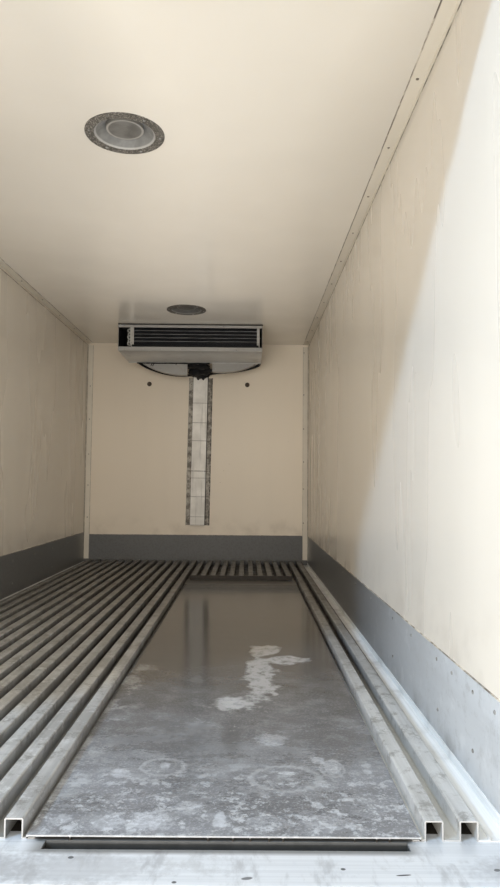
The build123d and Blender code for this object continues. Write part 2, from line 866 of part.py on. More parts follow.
with BuildPart() as drain_hoses:
    for start_x, route, end_x in (
        (cooler_left + hose_left_inset, left_hose_route, duct_top_x - hose_spread),
        (cooler_right - hose_right_inset, right_hose_route, duct_top_x + hose_spread),
    ):
        tube(down_the_duct(start_x, hose_start_rise, route, end_x), hose_radius, hose_sides)
save(drain_hoses, "drain_hoses")


# Right door, built round its hinge axis: U runs from the axis to the free edge, W to the outer face
leaf_width = half_inner - door_gap - meeting_gap / 2
leaf_u = hinge_x - half_inner + door_gap
leaf_end_u = leaf_u + leaf_width
face_w = -hinge_back
back_w = face_w - door_thickness
skin_w = face_w - door_skin
turn = math.radians(180 + open_angle)
leaf_plane = Plane(
    origin=(hinge_x, hinge_y, leaf_bottom), x_dir=(math.cos(turn), math.sin(turn), 0), z_dir=(0, 0, 1)
)

with BuildPart(leaf_plane) as right_door_panel:
    block(
        (leaf_u + door_edge, back_w + door_skin, door_edge),
        (leaf_end_u - door_edge, skin_w, leaf_height - door_edge),
    )
save(right_door_panel, "right_door_panel")

with BuildPart(leaf_plane) as right_door_frame:
    block((leaf_u, back_w, 0), (leaf_end_u, face_w, leaf_height))
    block(
        (leaf_u + door_edge, back_w, door_edge),
        (leaf_end_u - door_edge, face_w, leaf_height - door_edge),
        Mode.SUBTRACT,
    )
save(right_door_frame, "right_door_frame")

with BuildPart(leaf_plane) as right_door_gasket:
    gasket_w = back_w + gasket_setback
    block(
        (leaf_u - gasket_proud, gasket_w, -gasket_proud),
        (leaf_end_u + meeting_gasket_proud, gasket_w + gasket_width, leaf_height + gasket_proud),
    )
    block((leaf_u, gasket_w, 0), (leaf_end_u, gasket_w + gasket_width, leaf_height), Mode.SUBTRACT)
save(right_door_gasket, "right_door_gasket")

with BuildPart(leaf_plane) as right_hinges:
    for level in hinge_levels:
        low = level - leaf_bottom - hinge_height / 2
        with BuildSketch(leaf_plane.offset(low)):
            Circle(knuckle_radius)
            with Locations((0, face_w + strap_gap)):
                Rectangle(strap_length, strap_sheet, align=(Align.MIN, Align.MIN))
            with Locations((leaf_u + pad_start, face_w)):
                Rectangle(strap_length - leaf_u - pad_start, strap_gap, align=(Align.MIN, Align.MIN))
            Circle(pin_radius + pin_clearance, mode=Mode.SUBTRACT)
        extrude(amount=hinge_height)
    across, outward = Axis(leaf_plane.origin, leaf_plane.y_dir), Axis(leaf_plane.origin, leaf_plane.x_dir)
    chamfer(right_hinges.edges().filter_by(across).group_by(outward)[-1], strap_bevel)
save(right_hinges, "right_hinges")

with BuildPart(leaf_plane) as right_lock_gear:
    rod_w = face_w + rod_stand
    rod_low, rod_high = -door_gap - rod_overrun, leaf_height + door_gap + rod_overrun
    for u in rod_places:
        with BuildSketch(leaf_plane.offset(rod_low)):
            with Locations((u, rod_w)):
                RegularPolygon(rod_radius, rod_sides)
        extrude(amount=rod_high - rod_low)
        for z in (rod_low, rod_high - cam_height):
            block(
                (u - cam_width / 2, rod_w - cam_depth / 2, z), (u + cam_width / 2, rod_w + cam_depth / 2, z + cam_height)
            )
        strap = rod_radius + guide_strap
        for z in guide_levels:
            low_z, high_z = z - guide_height / 2, z + guide_height / 2
            block((u - guide_width / 2, skin_w, low_z), (u + guide_width / 2, skin_w + guide_sheet, high_z))
            block((u - strap, skin_w, low_z), (u + strap, rod_w + strap, high_z))
        grip_w = rod_w + rod_radius
        block(
            (u - handle_length, grip_w - handle_sheet / 2, handle_level - handle_width / 2),
            (u, grip_w + handle_sheet / 2, handle_level + handle_width / 2),
        )
        block(
            (u - strap, rod_w - strap, handle_level - handle_hub / 2),
            (u + strap, grip_w + handle_sheet / 2, handle_level + handle_hub / 2),
        )
save(right_lock_gear, "right_lock_gear")

for source, name in (
    (right_door_panel, "left_door_panel"),
    (right_door_frame, "left_door_frame"),
    (right_door_gasket, "left_door_gasket"),
    (right_hinges, "left_hinges"),
    (right_lock_gear, "left_lock_gear"),
):
    with BuildPart() as left_piece:
        mirror(source.part, about=Plane.YZ)
    save(left_piece, name)

with BuildPart() as lock_keepers:
    jaw = cam_width / 2 + keeper_gap
    for u in rod_places:
        x = hinge_x - u
        for z in (floor_top - rod_overrun, ceiling + rod_overrun - cam_height):
            outer = jaw + keeper_sheet
            block((x - outer, rear_y - keeper_base, z), (x + outer, rear_y, z + cam_height))
            for low_x in (x - outer, x + jaw):
                block((low_x, rear_y - keeper_depth, z), (low_x + keeper_sheet, rear_y, z + cam_height))
    mirror(about=Plane.YZ)
save(lock_keepers, "lock_keepers")

with BuildPart() as door_holdbacks:
    spot = leaf_plane.from_local_coords(Vector(buffer_reach, face_w, buffer_level))
    reach = spot.X - half_outer - buffer_gap
    block(
        (half_outer, spot.Y - buffer_base / 2, spot.Z - buffer_base / 2),
        (half_outer + buffer_plate, spot.Y + buffer_base / 2, spot.Z + buffer_base / 2),
    )
    with BuildSketch(side_view(half_outer, spot.Y, spot.Z)):
        Circle(buffer_radius)
    extrude(amount=reach)
    mirror(about=Plane.YZ)
save(door_holdbacks, "door_holdbacks")
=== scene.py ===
# %% [markdown]
# # A refrigerated truck cargo box
# The box is a cold room on wheels: sandwich panels outside, a ribbed aluminium floor inside, an
# evaporator under the ceiling and two doors swung right round to the side walls. The solids come
# ready made from the CAD frame, so this lesson gives them their finishes and adds the small things
# that a CAD model leaves out: screws, rivets, sealant, hoses, wear and dirt.

# %% Load the frame
import json
import math
import random

import bmesh
import bpy
from mathutils import Matrix, Vector, noise


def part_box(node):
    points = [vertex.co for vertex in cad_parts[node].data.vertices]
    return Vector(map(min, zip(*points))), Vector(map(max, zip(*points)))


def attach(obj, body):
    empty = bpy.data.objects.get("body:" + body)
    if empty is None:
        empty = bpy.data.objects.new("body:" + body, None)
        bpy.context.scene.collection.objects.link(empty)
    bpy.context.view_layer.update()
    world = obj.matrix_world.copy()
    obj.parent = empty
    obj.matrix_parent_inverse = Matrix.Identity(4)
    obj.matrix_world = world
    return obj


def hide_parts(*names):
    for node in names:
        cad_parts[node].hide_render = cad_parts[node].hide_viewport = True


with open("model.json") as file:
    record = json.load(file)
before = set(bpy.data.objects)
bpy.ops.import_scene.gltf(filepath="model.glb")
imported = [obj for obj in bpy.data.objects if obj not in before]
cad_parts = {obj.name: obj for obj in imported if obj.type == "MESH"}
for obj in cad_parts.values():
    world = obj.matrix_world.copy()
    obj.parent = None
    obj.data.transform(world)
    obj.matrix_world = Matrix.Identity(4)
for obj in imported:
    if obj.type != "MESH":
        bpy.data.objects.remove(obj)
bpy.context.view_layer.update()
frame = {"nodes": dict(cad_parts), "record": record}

nodes = frame["nodes"]
low = {name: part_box(name)[0] for name in nodes}
high = {name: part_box(name)[1] for name in nodes}

# %% [markdown]
# ## Places
# Everything that is added sits on a CAD face, so the places are read from the nodes' boxes and not
# typed in. When the CAD model changes, the screws and finishes move with it.

# %% Places read from the nodes
inner_x = low["right_wall"].x
ceiling_z = low["roof_panel"].z
roof_z = high["roof_panel"].z
rib_height = 0.04
floor_z = high["left_floor_ribs"].z - rib_height
front_wall_y = low["front_wall"].y
front_y = high["front_wall"].y
ribs_y = low["left_floor_ribs"].y
sill_y = low["rear_sill"].y
sides = (("right", 1), ("left", -1))
signs = (1, -1)
print("inside: x to", round(inner_x, 3), "floor", round(floor_z, 3), "ceiling", round(ceiling_z, 3))

# %% [markdown]
# ## Camera
# The photograph was taken standing behind the sill, at about one metre above the ground, with a wide
# phone lens. A camera's rotation is easiest to read when it is built in steps: first turn it from
# looking down to looking level, then pitch and yaw it, then roll it about its own axis.

# %% Camera at the photographer's place
scene = bpy.context.scene
scene.view_settings.view_transform = "Standard"
eye = bpy.data.cameras.new("eye")
eye.lens = 27.05
eye.clip_start = 0.05
eye_place = (0.453, -3.6375, 0.989)
yaw, pitch_up, tilt = (math.radians(degrees) for degrees in (-0.18, 3.42, 0.49))
photographer = bpy.data.objects.new("photographer", eye)
scene.collection.objects.link(photographer)
turn = Matrix.Rotation(yaw, 4, "Z") @ Matrix.Rotation(math.pi / 2 + pitch_up, 4, "X")
roll = Matrix.Rotation(tilt, 4, "Z")
photographer.matrix_world = Matrix.Translation(eye_place) @ turn @ roll
scene.camera = photographer
print("camera at", [round(v, 3) for v in photographer.matrix_world.translation])

# %% [markdown]
# ## Light
# Daylight reaches the inside only through the rear doorway. It could be left to the world alone, but a
# closed box then renders dark and noisy. Softboxes outside the doorway do the same job cleanly: a wide
# one stands for the open street, a low one for the bright ground, which lights the ceiling, and a
# small one, high on the left, throws the header's slanting shadow on the right wall. The sky behind the
# truck lights the first metre of the floor, and a faint lamp with a narrow spread, just above the
# floor, stands for the light that the polished metal throws up to the ceiling. The last two lamps
# only light the box from outside.


# %% Studio lamps
def softbox(name, place, aim, size, watts, tint, seen_in_gloss):
    """A rectangular area lamp that faces the point it is aimed at."""
    lamp = bpy.data.lights.new(name, "AREA")
    lamp.shape, lamp.size, lamp.size_y = "RECTANGLE", size[0], size[1]
    lamp.energy, lamp.color = watts, tint
    holder = bpy.data.objects.new(name, lamp)
    holder.location = place
    holder.rotation_euler = (Vector(aim) - Vector(place)).to_track_quat("-Z", "Y").to_euler()
    holder.visible_camera = False
    holder.visible_glossy = seen_in_gloss
    scene.collection.objects.link(holder)
    return holder


lamps = (
    # name, place, aim, size, watts, colour, seen in gloss
    ("street_light", (0.0, -9.0, 1.8), (0.0, 2.0, 1.3), (8.0, 3.2), 405, (1.0, 0.93, 0.84), False),
    ("ground_light", (-0.5, -3.8, 0.2), (0.0, 0.5, 2.25), (3.0, 1.2), 88, (1.0, 0.91, 0.76), False),
    ("patch_light", (-2.9, -4.4, 3.75), (0.99, -1.2, 1.1), (0.22, 0.22), 168, (0.44, 0.68, 1.0), False),
    ("rear_sky_light", (-0.8, -4.2, 4.4), (0.1, -2.0, 0.3), (3.0, 1.6), 62, (0.93, 1.0, 0.92), False),
    ("ceiling_glow", (0.1, -0.5, 0.42), (0.1, -0.5, 2.0), (0.5, 3.4), 5.5, (1.0, 0.97, 0.94), False),
    ("sky_light", (-3.0, -2.0, 7.5), (0, 0, 1.0), (6.0, 6.0), 330, (0.91, 0.95, 1.0), True),
    ("side_light", (8.0, 2.0, 4.5), (0, 0, 1.2), (5.0, 5.0), 260, (1.0, 1.0, 1.0), True),
)
softboxes = {values[0]: softbox(*values) for values in lamps}
softboxes["ceiling_glow"].data.spread = math.radians(75)

world = bpy.data.worlds.new("soft_daylight")
scene.world = world
world.use_nodes = True
sky = world.node_tree.nodes["Background"]
sky.inputs["Color"].default_value = (0.93, 0.95, 1.0, 1.0)
sky.inputs["Strength"].default_value = 0.35
print("lamps:", list(softboxes))

# %% [markdown]
# ## A finish is a small tree of nodes
# Every surface gets a procedural material: noise for clouds of dirt, cells for specks, and masks that
# read the place on the piece, all on Object coordinates, which here are metres in the truck. Writing
# node after node by hand is long, so a small class adds a node, feeds its inputs and hands back the
# output. The finishes below then read like a recipe.


# %% The Finish class
class Finish:
    """A procedural material, fed by nodes that read the piece's own coordinates."""

    def __init__(self, name, colour, roughness=0.5, metallic=0.0, specular=0.5):
        self.material = bpy.data.materials.new(name)
        self.material.use_nodes = True
        self.tree = self.material.node_tree
        self.shader = self.tree.nodes["Principled BSDF"]
        self.shader.inputs["Base Color"].default_value = (*colour, 1.0)
        self.shader.inputs["Roughness"].default_value = roughness
        self.shader.inputs["Metallic"].default_value = metallic
        self.shader.inputs["Specular IOR Level"].default_value = specular
        coordinates = self.tree.nodes.new("ShaderNodeTexCoord")
        self.place, self.normal = coordinates.outputs["Object"], coordinates.outputs["Normal"]

    def feed(self, target, value):
        """Links a socket, or sets a number, vector or colour."""
        if isinstance(value, bpy.types.NodeSocket):
            self.tree.links.new(value, target)
        elif isinstance(value, (tuple, list)) and len(value) < len(target.default_value):
            target.default_value = (*value, 1.0)
        else:
            target.default_value = value

    def add(self, kind, output, inputs, **settings):
        """Adds a node with its settings, feeds its inputs and gives one of its outputs."""
        node = self.tree.nodes.new(kind)
        for name, value in settings.items():
            setattr(node, name, value)
        for name, value in inputs.items():
            self.feed(node.inputs[name], value)
        return node.outputs[output]

    def stretched(self, scale):
        """The coordinates, scaled: a large number packs a pattern close along that axis."""
        return self.add("ShaderNodeMapping", "Vector", {"Vector": self.place, "Scale": scale})

    def cloud(self, scale, detail=4.0, rough=0.55, at=None):
        """Noise from 0 to 1."""
        return self.add(
            "ShaderNodeTexNoise",
            "Fac",
            {"Vector": at or self.place, "Scale": scale, "Detail": detail, "Roughness": rough},
        )

    def cells(self, scale):
        """Distance to the nearest of many scattered points."""
        return self.add("ShaderNodeTexVoronoi", "Distance", {"Vector": self.place, "Scale": scale})

    def ramp(self, value, start, end, first=0.0, last=1.0):
        """Takes value from start..end to first..last, softly, and holds it outside."""
        return self.add(
            "ShaderNodeMapRange",
            "Result",
            {"Value": value, "From Min": start, "From Max": end, "To Min": first, "To Max": last},
            interpolation_type="SMOOTHSTEP",
        )

    def calc(self, operation, a, b=0.0):
        """One step of arithmetic."""
        return self.add("ShaderNodeMath", 0, {0: a, 1: b}, operation=operation)

    def both(self, a, b):
        """Where two masks meet, or one mask weakened by a number."""
        return self.calc("MULTIPLY", a, b)

    def either(self, *masks):
        """The strongest of some masks."""
        strongest = masks[0]
        for mask in masks[1:]:
            strongest = self.calc("MAXIMUM", strongest, mask)
        return strongest

    def axes(self, vector=None):
        """The three parts of the coordinates, or of another vector."""
        node = self.tree.nodes.new("ShaderNodeSeparateXYZ")
        self.feed(node.inputs[0], vector or self.place)
        return node.outputs[0], node.outputs[1], node.outputs[2]

    def spot(self, centre, radii, turn=(0, 0, 0), ragged=0.0, grain=70):
        """Distance from a place, 1 at the edge of an oval with those radii, made ragged by noise."""
        around = self.add(
            "ShaderNodeMapping",
            "Vector",
            {"Vector": self.place, "Location": centre, "Rotation": turn, "Scale": radii},
            vector_type="TEXTURE",
        )
        reach = self.add("ShaderNodeVectorMath", "Value", {0: around}, operation="LENGTH")
        if not ragged:
            return reach
        push = self.both(self.calc("SUBTRACT", self.cloud(grain, 6), 0.5), ragged)
        return self.calc("ADD", reach, push)

    def off(self, value, place):
        """How far a value is from a place, on either side."""
        return self.calc("ABSOLUTE", self.calc("SUBTRACT", value, place))

    def rim(self, name, axes, width):
        """A mask that rises within a width of the edges of a node's box, on some of its axes."""
        nearest = 1.0
        for index, value in enumerate(self.axes()):
            if "xyz"[index] in axes:
                for edge in (low[name][index], high[name][index]):
                    nearest = self.calc("MINIMUM", self.off(value, edge), nearest)
        return self.ramp(nearest, width, 0)

    def patches(self, scale, detail=4.0, rough=0.55, start=0.0, end=1.0, most=1.0, stretch=None):
        """A mask of patches: where a cloud passes from start to end, up to a strength."""
        at = self.stretched(stretch) if stretch else None
        return self.ramp(self.cloud(scale, detail, rough, at), start, end, 0.0, most)

    def blend(self, amount, a, b, how="MIX"):
        """Mixes two colours."""
        node = self.tree.nodes.new("ShaderNodeMix")
        node.data_type, node.blend_type = "RGBA", how
        colours = [socket for socket in node.inputs if socket.type == "RGBA"]
        self.feed(node.inputs[0], amount)
        self.feed(colours[0], a)
        self.feed(colours[1], b)
        return next(socket for socket in node.outputs if socket.type == "RGBA")

    def looks(self, colour=None, roughness=None, bumps=None, strength=0.3, depth=0.001):
        """Feeds the shader. The bumps are a height from 0 to 1, depth metres high."""
        if colour is not None:
            self.feed(self.shader.inputs["Base Color"], colour)
        if roughness is not None:
            self.feed(self.shader.inputs["Roughness"], roughness)
        if bumps is not None:
            relief = {"Strength": strength, "Distance": depth, "Height": bumps}
            self.feed(self.shader.inputs["Normal"], self.add("ShaderNodeBump", "Normal", relief))
        return self.material


def shade(colour, share):
    """A colour made darker or lighter."""
    return tuple(channel * share for channel in colour)


def as_mesh(bm, name):
    """Ends a bmesh and gives its mesh."""
    mesh = bpy.data.meshes.new(name)
    bm.to_mesh(mesh)
    bm.free()
    return mesh


def dress(material, *names):
    """Gives CAD nodes a finish through their material slots."""
    for name in names:
        nodes[name].material_slots[0].material = material
    print(material.name, "on", ", ".join(names))


# %% [markdown]
# ## The ground
# A plain pale floor, wide enough for every view. It is named stage_floor, so it isn't part of the object.

# %% Stage floor
ground = Finish("pale_floor", (0.66, 0.66, 0.65), 0.8)
mottle = ground.patches(1.3, 6, start=0.3, end=0.7)
bm = bmesh.new()
bmesh.ops.create_grid(bm, x_segments=1, y_segments=1, size=40)
floor_mesh = as_mesh(bm, "stage_floor")
floor_mesh.materials.append(ground.looks(ground.blend(mottle, (0.64, 0.64, 0.63), (0.68, 0.68, 0.67))))
stage_floor = bpy.data.objects.new("stage_floor", floor_mesh)
scene.collection.objects.link(stage_floor)
print("stage floor laid")

# %% [markdown]
# ## Walls and ceiling
# The panels have a smooth glass-fibre skin, cream inside and white outside. Clean, it would be one
# colour, so what makes it real is slight: faint runs, sparse specks, scuffs where cargo rubbed, a
# splashed band above the kick plates, and a ripple that only shows in the reflections. One finish
# serves inside and outside, with a mask that knows which face is which by its place.

# %% Glass-fibre lining
cream, front_cream, white_skin = (0.80, 0.745, 0.66), (0.78, 0.70, 0.59), (0.74, 0.75, 0.74)
brown_dirt, road_dust = (0.16, 0.11, 0.07), (0.42, 0.38, 0.32)
kick_z = high["left_kick_plate"].z
core_x, core_y, core_z = 1.03, 2.37, 2.30  # inside the side, front and roof panels
any_height = 1000  # a spot's radius along an axis that it ignores


def lining(name, colour, gloss, scuffed, sheen=0.5, lighter_share=0.0):
    """Glossy skin, cream inside the box and dusty white outside."""
    f = Finish(name, colour, gloss, specular=sheen)
    x, y, z = f.axes()
    runs = f.cloud(1.0, 2, at=f.stretched((3, 3, 0.5)))
    inside = f.blend(f.ramp(runs, 0.2, 0.8), shade(colour, 0.97), colour)
    # Painted light: the front wall's skin is made a lighter cream towards its right side, where more light
    # falls.
    inside = f.blend(f.ramp(x, -0.7, 0.8, 0.0, lighter_share), inside, (0.98, 0.90, 0.78))
    specks = f.both(f.ramp(f.cells(11), 0.035, 0.025), f.patches(1.9, start=0.55, end=0.66, most=0.5))
    splash = f.both(f.ramp(z, kick_z + 0.2, kick_z), f.patches(6, 8, start=0.45, end=0.75, most=0.22))
    inside = f.blend(f.either(specks, splash), inside, brown_dirt)
    streaks = f.patches(1.0, 2, start=0.45, end=0.75, most=scuffed, stretch=(8, 8, 0.6))
    inside = f.blend(streaks, inside, shade(colour, 0.75))
    # Painted shade: the ceiling near the door, more so away from x = 0.42 m, the upper walls near the door and
    # the left wall are all mixed towards dark grey.
    away = f.off(x, 0.42)
    ceiling_painted_shade = f.both(f.ramp(away, 0.15, 0.6, 0.03, 0.27), f.ramp(y, -0.2, -1.5))
    ceiling_painted_shade = f.both(ceiling_painted_shade, f.ramp(z, 2.18, 2.22))
    doorway = f.both(f.ramp(y, -1.2, -2.2, 0.0, 0.14), f.ramp(z, 1.1, 1.8))
    left = f.ramp(x, -0.97, -0.985, 0.0, 0.09)
    inside = f.blend(f.either(ceiling_painted_shade, doorway, left), inside, (0.2, 0.18, 0.16))
    flank = f.ramp(f.calc("ABSOLUTE", x), core_x, core_x + 0.01)
    outside = f.either(flank, f.ramp(y, core_y, core_y + 0.01), f.ramp(z, core_z, core_z + 0.01))
    dust = f.both(f.ramp(z, 1.5, 0.25), f.patches(2.5, 8, start=0.35, end=0.75, most=0.75))
    stripes = f.patches(1.0, 5, start=0.55, end=0.8, most=0.35, stretch=(14, 14, 0.3))
    skin = f.blend(f.either(dust, stripes), white_skin, road_dust)
    ripple = f.calc("ADD", f.cloud(3.5, 2), f.both(f.cloud(220, 1), 0.03))
    return f.looks(
        f.blend(outside, inside, skin),
        f.calc("ADD", f.ramp(runs, 0.3, 0.8, gloss, gloss + 0.12), f.both(outside, 0.15)),
        ripple,
        strength=0.25,
        depth=0.003,
    )


dress(lining("glass_fibre_walls", cream, 0.24, 0.05), "left_wall", "right_wall")
dress(lining("glass_fibre_ceiling", (0.83, 0.785, 0.71), 0.13, 0.0, 0.95), "roof_panel")
dress(lining("glass_fibre_front", front_cream, 0.3, 0.05, lighter_share=0.45), "front_wall")

# %% [markdown]
# ## Kick plates
# Blue-grey coated sheet runs along the foot of the walls. Deep in the box it is dark, and towards the
# door it is pale, with smears, scrapes and scuffs, so the colour follows the distance to the door.

# %% Kick plate finish
kick = Finish("kick_plate_sheet", (0.155, 0.165, 0.175), 0.36)
_, y, z = kick.axes()
spangle = kick.ramp(kick.cells(55), 0.1, 0.7)
bare = kick.blend(spangle, (0.135, 0.137, 0.137), (0.155, 0.158, 0.16))
uneven = kick.ramp(kick.cloud(2.2, 8, at=kick.stretched((1, 0.6, 2))), 0.2, 0.75, 0.75, 1.0)
pale_share = kick.both(kick.ramp(y, -0.1, -2.1), uneven)
worn = kick.blend(pale_share, bare, (0.57, 0.595, 0.62))
smears = kick.patches(1.0, 6, start=0.5, end=0.78, most=0.5, stretch=(1, 1.2, 14))
scrapes = kick.patches(14, 8, start=0.56, end=0.7, most=0.4)
scuffs = kick.patches(32, 9, 0.74, 0.50, 0.64, 0.5)
for mask, colour in (
    (smears, (0.36, 0.37, 0.38)),
    (scrapes, (0.66, 0.68, 0.70)),
    (scuffs, (0.36, 0.365, 0.37)),
):
    worn = kick.blend(kick.both(mask, pale_share), worn, colour)
foot_noise = kick.ramp(kick.cloud(9, 8), 0.4, 0.75, 0.05, 0.5)
foot_dirt = kick.both(kick.ramp(z, floor_z + 0.09, floor_z + 0.03), foot_noise)
worn = kick.blend(foot_dirt, worn, (0.10, 0.09, 0.08))
kick_paint = kick.looks(worn, kick.ramp(pale_share, 0, 1, 0.3, 0.5), kick.cloud(4, 3), strength=0.2, depth=0.003)
dress(kick_paint, "front_kick_plate", "left_kick_plate", "right_kick_plate")

# %% [markdown]
# ## Ribbed floor
# The floor is extruded aluminium. Boots and pallets keep the tops of its ribs bright, dirt and
# painted shade lie between them, and chalky stains cover both. The ribs also carry painted light and
# shade: lighter near the door, most on the right bank, and darker deep in the box. Which part of a
# rib a point is on follows from its height above the floor, and a hat's hollow inside, painted black
# as shade, from faces that look down.

# %% Rib finish
ribs = Finish("floor_rib_aluminium", (0.42, 0.42, 0.415), 0.42, metallic=0.3)
x, y, z = ribs.axes()
_, along, upward = ribs.axes(ribs.normal)
near = ribs.ramp(y, -0.6, -2.1)
rib_colour = ribs.blend(ribs.ramp(ribs.cloud(5, 8), 0.35, 0.65), (0.42, 0.42, 0.415), (0.60, 0.605, 0.605))
right_bank = ribs.ramp(x, 0.75, 0.80)
stain = ribs.patches(15, 11, 0.78, 0.50, 0.62, 0.75)
bloom = ribs.patches(24, 11, 0.78, 0.52, 0.64, 0.8)
drag = ribs.patches(1.0, 5, start=0.4, end=0.75, most=0.35, stretch=(70, 1.6, 1))
# The first mask is painted light: the right bank is made paler near the door, where daylight falls. The others
# are stains, chalky bloom and drag marks.
for mask, colour in (
    (ribs.both(right_bank, ribs.both(near, 0.45)), (0.84, 0.85, 0.85)),
    (stain, (0.25, 0.24, 0.225)),
    (bloom, (0.74, 0.75, 0.755)),
    (drag, (0.22, 0.215, 0.21)),
):
    rib_colour = ribs.blend(mask, rib_colour, colour)
# Between the ribs lie dirt and painted shade: nearly black deep in the box, and paler near the door and on the
# right bank, where daylight falls.
deep = ribs.ramp(z, floor_z + 0.030, floor_z + 0.004)
gap_painted_light = ribs.blend(right_bank, (0.24, 0.235, 0.22), (0.62, 0.62, 0.60))
gap_dirt_and_painted_shade = ribs.blend(near, (0.03, 0.027, 0.023), gap_painted_light)
rib_colour = ribs.blend(ribs.both(deep, ribs.ramp(near, 0, 1, 1.0, 0.8)), rib_colour, gap_dirt_and_painted_shade)
# Painted shade: the ribs darken towards the front wall, deep in the box.
rib_colour = ribs.blend(ribs.ramp(y, -2.0, 1.3, 0.0, 0.68), rib_colour, (0.05, 0.045, 0.038))
# Painted shade on the faces of the short ribs' end strip that look to the door and in the hats' hollows. The
# cut ends are plain grey, and the last rib's flange near the door is painted light.
rearward = ribs.ramp(along, -0.5, -0.8)
end_strip_painted_shade = ribs.both(rearward, ribs.ramp(y, ribs_y + 0.5, ribs_y + 0.6))
hollow_painted_shade = ribs.both(ribs.ramp(upward, -0.3, -0.8), ribs.ramp(z, floor_z - 0.01, floor_z + 0.01))
cut_end = ribs.both(rearward, ribs.ramp(y, ribs_y + 0.02, ribs_y + 0.01, 0.0, 0.85))
last_x = high["right_floor_ribs"].x
flange = ribs.both(ribs.ramp(x, last_x - 0.026, last_x - 0.022), near)
flange = ribs.both(flange, ribs.ramp(ribs.cloud(12, 8), 0.35, 0.6, 0.5, 1.0))
for mask, colour in (
    (end_strip_painted_shade, (0.06, 0.053, 0.046)),
    (hollow_painted_shade, (0.012, 0.011, 0.010)),
    (cut_end, (0.48, 0.48, 0.48)),
    (flange, (0.84, 0.85, 0.85)),
):
    rib_colour = ribs.blend(mask, rib_colour, colour)
rib_bumps = ribs.calc("ADD", ribs.cloud(45, 6), ribs.both(stain, 0.4))
rib_gloss = ribs.ramp(ribs.cloud(12, 5), 0.3, 0.7, 0.34, 0.55)
rib_metal = ribs.looks(rib_colour, rib_gloss, rib_bumps, strength=0.35, depth=0.0008)
dress(rib_metal, "left_floor_ribs", "middle_floor_ribs", "right_floor_ribs")

# %% Board under the ribs
board = Finish("floor_board", (0.30, 0.30, 0.29), 0.7)
z = board.axes()[2]
resin = board.blend(board.patches(7, 8, start=0.35, end=0.7), (0.24, 0.24, 0.23), (0.34, 0.335, 0.32))
# Dirt and painted shade: the board's top, under the ribs and the plate, is made nearly black.
grime_and_painted_shade = board.blend(board.cloud(30, 6), (0.018, 0.016, 0.014), (0.045, 0.038, 0.03))
resin = board.blend(board.ramp(z, floor_z - 0.012, floor_z - 0.004), resin, grime_and_painted_shade)
board_gloss = board.ramp(board.cloud(20), 0.3, 0.7, 0.55, 0.8)
dress(board.looks(resin, board_gloss, board.cloud(60, 6), depth=0.001), "floor_panel")

# %% [markdown]
# ## Loose plate
# A loose aluminium plate covers the middle of the floor. It has gone dark and half glossy where feet
# polish it, and white and dull where water dried. Its white film thickens towards the door, and that
# paling is partly painted light, where daylight falls. The stains that the eye goes to are set one by
# one from tables, each an oval with a ragged edge, and the rest is left to noise.

# %% Plate finish
plate = Finish("floor_plate_aluminium", (0.20, 0.19, 0.185), 0.2, metallic=0.5, specular=0.22)
plate_low, plate_high = low["floor_plate"], high["floor_plate"]
x, y, z = plate.axes()
# Painted light and a real white film: the plate turns pale towards the door, and its brushing lines too.
near = plate.calc("POWER", plate.ramp(y, 0.6, -2.5), 2.6)
oxide = plate.ramp(plate.cloud(4.5, 12, 0.74, at=plate.stretched((0.8, 1.3, 1))), 0.38, 0.62)
white_film_and_painted_light = plate.both(plate.calc("ADD", plate.both(oxide, 0.45), 0.5), near)
metal = plate.blend(white_film_and_painted_light, (0.070, 0.068, 0.067), (0.30, 0.305, 0.325))
left_edge = plate.ramp(x, plate_low.x + 0.14, plate_low.x + 0.03)
mottle = plate.both(plate.patches(13, 9, 0.7, 0.46, 0.70, 0.55), plate.ramp(y, -0.6, -2.1))
chalk_specks = plate.both(plate.patches(24, 12, 0.78, 0.51, 0.58, 0.85), plate.ramp(y, -1.75, -2.2))
left_edge = plate.both(left_edge, plate.ramp(y, -0.8, -1.1))
crust = plate.both(left_edge, plate.patches(9, 12, 0.78, 0.50, 0.60, 0.7))
brushing = plate.patches(1.0, 6, start=0.42, end=0.72, most=0.5, stretch=(1.8, 55, 1))
for mask, colour in (
    (mottle, (0.42, 0.43, 0.45)),
    (chalk_specks, (0.60, 0.62, 0.65)),
    (crust, (0.48, 0.49, 0.50)),
    (brushing, plate.blend(near, (0.115, 0.11, 0.105), (0.20, 0.20, 0.205))),
):
    metal = plate.blend(mask, metal, colour)
flame_parts = (
    # x, y, half width, half length
    (0.53, -0.78, 0.06, 0.09),
    (0.60, -0.92, 0.09, 0.06),
    (0.505, -1.15, 0.05, 0.27),
    (0.42, -1.46, 0.08, 0.06),
)
flame = 0.0
for part_x, part_y, width, length in flame_parts:
    reach = plate.spot((part_x, part_y, 0), (width, length, any_height), ragged=2.4, grain=16)
    flame = plate.calc("MAXIMUM", plate.ramp(reach, 1.25, 0.85), flame)
flame = plate.both(flame, plate.ramp(plate.cloud(30, 12, 0.78), 0.34, 0.52, 0.1, 0.95))
metal = plate.blend(flame, metal, (0.52, 0.53, 0.545))
grit = plate.patches(170, 4, 0.7, 0.50, 0.66, 0.5)
metal = plate.blend(plate.both(grit, near), metal, (0.52, 0.53, 0.56))
